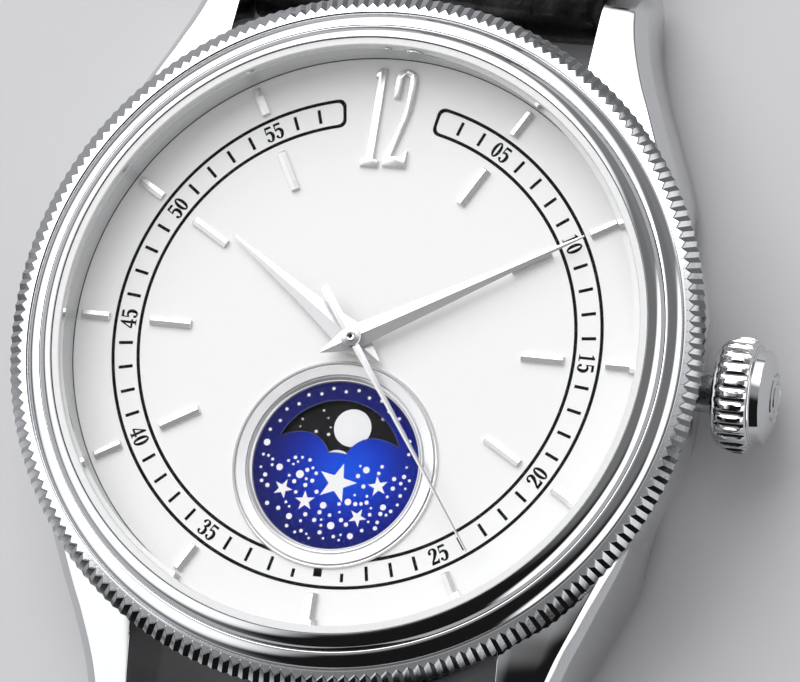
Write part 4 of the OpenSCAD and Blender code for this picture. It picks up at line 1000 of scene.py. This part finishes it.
markers = {"outerEnd": 16.96, "outerLength": 1.76, "innerStart": 10.1, "innerLength": 2.58,
           "width": 0.48, "side": 0.26, "height": 0.325, "end": 0.05}
numeral = {"base": 10.55, "height": 0.3, "round": 0.07}


def buildMarkers():
    bm = bmesh.new()
    places = [(markers["outerEnd"] - markers["outerLength"], markers["outerLength"], hour)
              for hour in range(1, 12)]
    places += [(markers["innerStart"], markers["innerLength"], hour)
               for hour in (1, 2, 3, 4, 8, 9, 10, 11)]
    half, side, end = markers["width"] / 2, markers["side"], markers["end"]
    for start, length, hour in places:
        fresh = len(bm.verts)
        sections = []
        for along, share in ((0, 0.3), (end, 1), (length - end, 1), (length, 0.3)):
            reach, eaves = start + along, side * (0.6 + 0.4 * share)
            ridge = side + (markers["height"] - side) * share
            sections.append([(reach, -half, 0), (reach, half, 0), (reach, half, eaves),
                             (reach, 0, ridge), (reach, -half, eaves)])
        loft(bm, sections)
        bm.verts.ensure_lookup_table()
        made = bm.verts[fresh:]
        shift(bm, (0, 0, dial["top"]), made)
        turn(bm, radians(90 - 30 * hour), "Z", made)
    finish("markers", bm, rhodium, ["outer_indices", "inner_indices"], sharp=6)


def buildNumeral():
    bm = bmesh.new()
    top = dial["top"]
    one = [(-1.41, 0), (-0.31, 0), (-0.31, 0.4), (-0.6, 0.5), (-0.6, 6.1), (-0.95, 6.1),
           (-1.25, 5.8), (-1.25, 5.45), (-1.1, 5.45), (-1.1, 0.5), (-1.41, 0.4)]
    two = [(-0.05, 0.1)]
    two += curvePath([(-0.05, 0.75), (0.45, 2.05), (0.8, 3.45), (0.86, 4.65), (0.86, 5.45),
                      (0.79, 5.66), (0.66, 5.73), (0.54, 5.66), (0.48, 5.45), (0.48, 4.85),
                      (0.46, 4.25)], 5)
    two += curvePath([(0.03, 4.3), (0.0, 4.9), (0.0, 5.45), (0.1, 5.87), (0.35, 6.08),
                      (0.655, 6.14), (0.95, 6.08), (1.22, 5.87), (1.33, 5.45), (1.33, 4.35),
                      (1.15, 3.25), (0.77, 1.85), (0.45, 0.75)], 5)
    two += [(1.15, 0.75), (1.15, 1.05), (1.38, 1.15), (1.4, 0.1)]
    for outline in (one, two):
        slab(bm, [[(x, y + numeral["base"]) for x, y in outline]], top, top + numeral["height"])
    bmesh.ops.remove_doubles(bm, verts=bm.verts, dist=1e-4)
    bmesh.ops.dissolve_limit(bm, angle_limit=radians(1), verts=bm.verts, edges=bm.edges)
    soften(bm, numeral["round"], 60, 2, top + 0.2)
    finish("numeralTwelve", bm, rhodium, ["numeral_12"], sharp=25)


# Hands

hands = {
    # Underside, height of the sides, and rise of the ridge for its half width or at least
    "hour": {"angle": 146, "z": 7.55, "side": 0.06, "rise": 0.22, "least": 0.03,
             "stations": [(-2.2, 0.03), (-2.1, 0.08), (-1.0, 0.54), (-0.35, 0.82), (0.05, 0.95),
                          (0.5, 0.89), (1.15, 0.81), (3.0, 0.6), (5.4, 0.39), (8.0, 0.21),
                          (9.9, 0.08), (10.1, 0.05)]},
    "minute": {"angle": 29.8, "z": 8.05, "side": 0.06, "rise": 0.24, "least": 0.03,
               "stations": [(-2.07, 0.03), (-1.97, 0.08), (-1.0, 0.46), (-0.3, 0.7),
                            (0.02, 0.78), (0.5, 0.72), (2.0, 0.63), (4.85, 0.51), (8.0, 0.36),
                            (11.5, 0.2), (14.7, 0.07), (14.9, 0.05)]},
    "second": {"angle": 306.6, "z": 8.55, "side": 0.07, "rise": 0.0, "least": 0.05,
               "stations": [(-3.57, 0.2), (-3.5, 0.25), (-0.6, 0.25), (-0.4, 0.22), (0.4, 0.22),
                            (4.2, 0.15), (10, 0.095), (14.8, 0.06), (14.9, 0.04)]},
}


def buildHand(body):
    values = hands[body]
    bm = bmesh.new()
    low = values["z"]
    side = low + values["side"]
    sections = []
    for along, half in values["stations"]:
        top = side + max(values["least"], half * values["rise"])
        sections.append([(along, -half, low), (along, half, low), (along, half, side),
                         (along, 0, top), (along, -half, side)])
    loft(bm, sections)
    turn(bm, radians(values["angle"]), "Z")
    finish(body + "Hand", bm, rhodium, [body + "_hand"], body=body, sharp=8)


def buildHub():
    turned("secondHub", [
        (0.13, 8.55), (0.6, 8.55), (0.61, 8.7), (0.57, 8.74), (0.3, 8.76), (0.28, 8.88),
        (0.24, 8.93), (0.17, 8.93), (0.14, 8.915), (0, 8.915)], 64, polishedSteel, closed=False,
        body="second", sharp=35)
    # Black disc on the end of the pivot, dark at the hub's centre
    turned("secondPivot", [(0.13, 8.9), (0.13, 8.935), (0.1, 8.945), (0, 8.945)], 32,
           nightLacquer, closed=False, slot="movement_steel", body="second", sharp=35)


# Strap

strap = {"width": 22.0, "endWidth": 18.0, "start": 20.95, "rowStep": 0.33, "liningStep": 1.5,
         "taper": 30.0, "buckle": 97.4, "tip": 137.4, "tipRound": 12, "corner": 0.45,
         "shoulder": 1.6, "seamIn": 1.9, "seamDepth": 0.26, "stitch": 2.5, "stitchGap": 3.4,
         "firstStitch": 27.5, "holes": 7, "holeRadius": 1.0, "holePitch": 6.5,
         "lastHole": 115.4, "lining": 0.9, "liningIn": 0.35, "keeperWall": 1.05}
# Embossed scales: shares of the half width where the rows meet, then lengths in millimetres
scales = {"inner": 0.34, "outer": 0.67, "edge": 0.95, "length": 5.2, "outerShare": 0.62,
          "innerShare": 0.8, "stagger": 1.7, "wander": 0.9, "groove": 0.22, "grooveDeep": 0.2,
          "pillow": 1.3, "pillowHigh": 0.07}

# Height of the top and of the underside along each strap half
shoulderTop = [(20.9, 3.8), (21.2, 4.4), (21.8, 5.0), (23.0, 5.35), (25.0, 5.5), (28.0, 5.5),
               (33.4, 5.2)]
topOf12 = shoulderTop + [(41.4, 4.6), (51.4, 4.1), (60.4, 3.95), (98.7, 3.95)]
topOf6 = shoulderTop + [(42.0, 4.3), (55.0, 3.2), (70.0, 2.6), (137.4, 2.4)]
shoulderLow = [(20.9, 2.2), (21.2, 1.9), (22.4, 1.4)]
lowOf12 = shoulderLow + [(26.4, 1.36), (26.6, 2.27), (92.9, 2.27), (93.1, 1.36), (98.7, 1.36)]
lowOf6 = shoulderLow + [(26.4, 1.25), (26.6, 2.1), (36.0, 1.3), (45.0, 0.91), (133.9, 0.91),
                        (134.1, 0.01), (137.4, 0.01)]


def strapHalf(y, long):
    # Half the width: both halves taper, and the long one ends in a round tip
    half, end = strap["width"] / 2, strap["endWidth"] / 2
    if not long:
        return between([(strap["taper"], half), (strap["buckle"], end)], y)
    tipStart = strap["tip"] - strap["tipRound"]
    if y > tipStart:
        away = (y - tipStart) / strap["tipRound"]
        return max(0.25, end * sqrt(max(0.0, 1 - away ** 2.4)))
    return between([(strap["taper"], half), (tipStart, end)], y)


def scaleField(x, y, half):
    # Large plates down the middle, two rows of rounder ones on each side, and the seam
    away = abs(x)
    inner, outer = half * scales["inner"], half * scales["outer"]
    length, stagger = scales["length"], 0.0
    if away / half < scales["inner"]:
        sides = inner - away
    else:
        stagger = scales["stagger"] * (1 if x > 0 else -1)
        if away / half > scales["outer"]:
            length *= scales["outerShare"]
            sides = min(away - outer, half * scales["edge"] - away)
        else:
            length *= scales["innerShare"]
            sides = min(away - inner, outer - away)
    wander = noise.noise(Vector((x * 0.23, y * 0.17, 3.1))) * scales["wander"]
    along = ((y + stagger + wander) / length) % 1.0
    near = min(min(along, 1 - along) * length, abs(sides))
    groove = exp(-(near / scales["groove"]) ** 2)
    pillow = min(1.0, near / scales["pillow"])
    fromSeam = away - half + strap["seamIn"]
    inside = 1 / (1 + exp(fromSeam * 6))
    seam = exp(-(fromSeam / 0.33) ** 2)
    raised = scales["pillowHigh"] * pillow * pillow - scales["grooveDeep"] * groove
    return raised * inside - strap["seamDepth"] * seam


def strapSection(y, top, bottom, half, count=40):
    # Crowned section with rounded edges, from the lower left round the top
    thick = top - bottom
    corner = min(strap["corner"], thick / 2.2)
    points = []
    for i in range(count + 1):
        x = -half + 2 * half * i / count
        edge = half - abs(x)
        drop = max(0.0, 1 - edge / strap["shoulder"]) ** 2 * min(0.7, thick * 0.3)
        points.append((x, y, top - drop + scaleField(x, y, half) * min(1.0, edge / 0.9)))
    side = bottom + thick * 0.35
    return points + [(half, y, side), (half - corner * 0.4, y, bottom), (0, y, bottom),
                     (-half + corner * 0.4, y, bottom), (-half, y, side)]


def flipped(bm, long):
    # The hole half is drawn towards +Y and then turned over to the other side
    if long:
        resize(bm, (1, -1, 1))
        bmesh.ops.reverse_faces(bm, faces=bm.faces)


def punched(piece, low, high):
    # Round holes for the tongue
    bm = bmesh.new()
    for i in range(strap["holes"]):
        made = addRod(bm, strap["holeRadius"], high - low, 32)
        shift(bm, (0, i * strap["holePitch"] - strap["lastHole"], (high + low) / 2), made)
    cutBy(piece, plainObject("cutter", bm), 50)


def buildStrapHalf(name, tops, bottoms, length, long, body):
    # The body of a half has the same name as its leather node
    bm = bmesh.new()
    sections = []
    y = strap["start"]
    while y < length:
        sections.append(strapSection(y, between(tops, y), between(bottoms, y),
                                     strapHalf(y, long)))
        y += strap["rowStep"]
    sections.append(strapSection(length, between(tops, length) - 0.25,
                                 between(bottoms, length) + 0.1, strapHalf(length, long)))
    loft(bm, sections)
    flipped(bm, long)
    return finish(name, bm, leather, [body], "strap_leather", body, 60)


def buildLining(name, lows, start, end, long, body):
    bm = bmesh.new()
    sections = []
    count = int((end - start) / strap["liningStep"])
    for i in range(count + 1):
        y = start + (end - start) * i / count
        half, low = strapHalf(y, long) - strap["liningIn"], between(lows, y)
        high = low + strap["lining"] - 0.02
        right = [(half - 0.4, low), (half - 0.12, low + 0.05), (half, low + 0.22), (half, high)]
        left = [(-x, z) for x, z in reversed(right)]
        sections.append([(x, y, z) for x, z in left + [(0, low)] + right + [(0, high)]])
    loft(bm, sections)
    flipped(bm, long)
    return finish(name, bm, lining, [body + "_lining"], "strap_lining", body, 50)


def buildStitches(name, tops, end, long, body):
    bm = bmesh.new()
    y = strap["firstStitch"]
    while y < end:
        top = between(tops, y) - strap["seamDepth"] + 0.07
        tilt = atan2(between(tops, y + 1) - between(tops, y - 1), 2)
        aside = strapHalf(y, long) - strap["seamIn"]
        for sign in (1, -1):
            made = bmesh.ops.create_uvsphere(bm, u_segments=8, v_segments=5, radius=1)["verts"]
            resize(bm, (0.24, strap["stitch"] / 2, 0.17), made)
            turn(bm, tilt, "X", made)
            shift(bm, (sign * aside, y, top), made)
        y += strap["stitchGap"]
    flipped(bm, long)
    finish(name, bm, thread, (), "strap_leather", body, 180, merge=False)


def roundedBox(halfWide, low, high, corner):
    points = []
    for x, z, start in ((halfWide, high, 0), (-halfWide, high, 90), (-halfWide, low, 180),
                        (halfWide, low, 270)):
        centre = (x - corner * (1 if x > 0 else -1), z - corner * (1 if z == high else -1))
        points += arcPoints(corner, start, start + 90, 6, centre)
    return points


def buildKeeper(name, node, body):
    # Leather loop with a folded edge and a line pressed along each side
    (x0, y0, z0), (x1, y1, z1) = [[c / mm for c in corner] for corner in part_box(node)]
    wall = strap["keeperWall"]
    bm = bmesh.new()
    for low, high, shrink in ((y0, y0 + 0.55, 0.0), (y0 + 0.55, y0 + 0.8, 0.12),
                              (y0 + 0.8, y1 - 0.8, 0.0), (y1 - 0.8, y1 - 0.55, 0.12),
                              (y1 - 0.55, y1, 0.0)):
        slab(bm, [roundedBox(x1 - shrink, z0 + shrink, z1 - shrink, 1.0),
                  roundedBox(x1 - wall, z0 + wall, z1 - wall, 0.5)], -high, -low)
    bmesh.ops.remove_doubles(bm, verts=bm.verts, dist=1e-4)
    turn(bm, pi / 2, "X")
    finish(name, bm, leather, [node], "strap_leather", body, 35)


buckle = {"bar": strap["buckle"], "barZ": 2.65, "inner": 9.2, "outer": 11.3, "near": 96.1,
          "far": 105.6, "cross": 103.35, "corner": 1.9, "innerCorner": 0.7, "round": 0.35}


def buildBuckle():
    inner, outer, near, far = buckle["inner"], buckle["outer"], buckle["near"], buckle["far"]
    corner, innerCorner = buckle["corner"], buckle["innerCorner"]
    right = [(inner, near + 0.2), (inner + 0.3, near), (outer - 0.5, near), (outer, near + 0.6),
             (outer, 98.7), (outer, 101.3)]
    right += arcPoints(corner, 0, 90, 10, (outer - corner, far - corner))
    inside = arcPoints(innerCorner, 90, 0, 6,
                       (inner - innerCorner, buckle["cross"] - innerCorner))
    inside += [(inner, 101.3), (inner, 98.7)]
    outline = right + [(-x, y) for x, y in reversed(right)]
    outline += [(-x, y) for x, y in reversed(inside)] + inside
    bm = bmesh.new()
    slab(bm, [outline], 0, 1)
    bmesh.ops.remove_doubles(bm, verts=bm.verts, dist=1e-4)
    lows = [(near, 1.6), (98.7, 1.35), (104.0, 0.0), (105.3, 0.0), (far, 0.5)]
    highs = [(near, 3.55), (96.5, 3.9), (98.7, 3.9), (105.1, 2.4), (far, 1.9)]
    for vert in bm.verts:
        low, high = between(lows, vert.co.y), between(highs, vert.co.y)
        vert.co.z = low + (high - low) * vert.co.z
    bmesh.ops.dissolve_limit(bm, angle_limit=radians(2), verts=bm.verts, edges=bm.edges)
    soften(bm, buckle["round"], 50, 3)
    finish("buckleFrame", bm, polishedSteel, ["buckle_frame"], body="buckle", sharp=40)


def buildTongue():
    # Eye round the bar, and the tongue that rests on the frame
    bm = bmesh.new()
    spinOutline(bm, [(0.85, -1.2), (1.25, -1.2), (1.35, -1.1), (1.35, 1.1), (1.25, 1.2),
                     (0.85, 1.2)], 48)
    turn(bm, pi / 2, "Y")
    shift(bm, (0, buckle["bar"], buckle["barZ"]))
    sections = []
    for y, top, low, half in (
            (97.6, 4.0, 3.0, 0.9), (98.3, 4.25, 3.1, 0.9), (98.9, 4.4, 3.42, 0.9),
            (100.9, 4.35, 3.4, 0.88), (102.4, 4.08, 3.35, 0.86), (104.0, 3.79, 3.02, 0.84),
            (105.3, 3.55, 2.75, 0.8), (105.9, 3.37, 2.78, 0.72), (106.15, 3.22, 2.88, 0.6)):
        ease = min(0.28, (top - low) / 3)
        sections.append([(-half, y, low + ease), (-half + ease, y, low), (half - ease, y, low),
                         (half, y, low + ease), (half, y, top - ease), (half - ease, y, top),
                         (-half + ease, y, top), (-half, y, top - ease)])
    loft(bm, sections)
    finish("buckleTongue", bm, polishedSteel, ["buckle_tongue"], body="tongue", sharp=30)


def buildStraps():
    buildStrapHalf("strapTwelve", topOf12, lowOf12, 95.5, False, "strap_12")
    six = buildStrapHalf("strapSix", topOf6, lowOf6, 137.3, True, "strap_6")
    buildLining("liningTwelve", [(26.5, 1.35), (93.0, 1.35)], 26.62, 92.88, False, "strap_12")
    inner = buildLining("liningSix", [(26.5, 1.2), (36.0, 0.4), (45.0, 0.0), (137.4, 0.0)],
                        26.62, 133.88, True, "strap_6")
    punched(six, 0.5, 5.0)
    punched(inner, -0.5, 2.0)
    buildStitches("stitchesTwelve", topOf12, 92.5, False, "strap_12")
    buildStitches("stitchesSix", topOf6, 126.0, True, "strap_6")
    buildKeeper("fixedKeeper", "fixed_keeper", "strap_12")
    buildKeeper("freeKeeper", "free_keeper", "keeper")
    buildBuckle()
    buildTongue()


# Everything

buildBezel()
buildCase()
buildBack()
buildCrown()
buildCrystal()
print("case ready")
buildDial()
buildMoonPlate()
buildMoonDisc()
buildMarkers()
buildNumeral()
buildHand("hour")
buildHand("minute")
buildHand("second")
buildHub()
print("dial ready")
buildStraps()
print("strap ready")

slotMaterials = {
    "polished_steel": polishedSteel, "brushed_steel": brushedSteel,
    "movement_steel": movementSteel, "movement_brass": gearBrass, "dial_white": dialLacquer,
    "crystal_glass": glass, "sky_enamel": moonSky, "night_enamel": nightLacquer,
    "gasket_rubber": blackRubberAndShade, "gasket_clear": clearGasket,
    "holder_plastic": holderPlastic, "gear_plastic": gearPlastic, "board_green": boardGreen,
    "chip_black": chipBlack, "coil_copper": coilCopper, "strap_leather": leather,
    "strap_lining": lining,
}
for part in frame["record"]["subparts"]:
    node = frame["nodes"][part["node"]]
    node.data.materials.clear()
    node.data.materials.append(slotMaterials[part["material_slot"]])
print("carried-over nodes dressed")
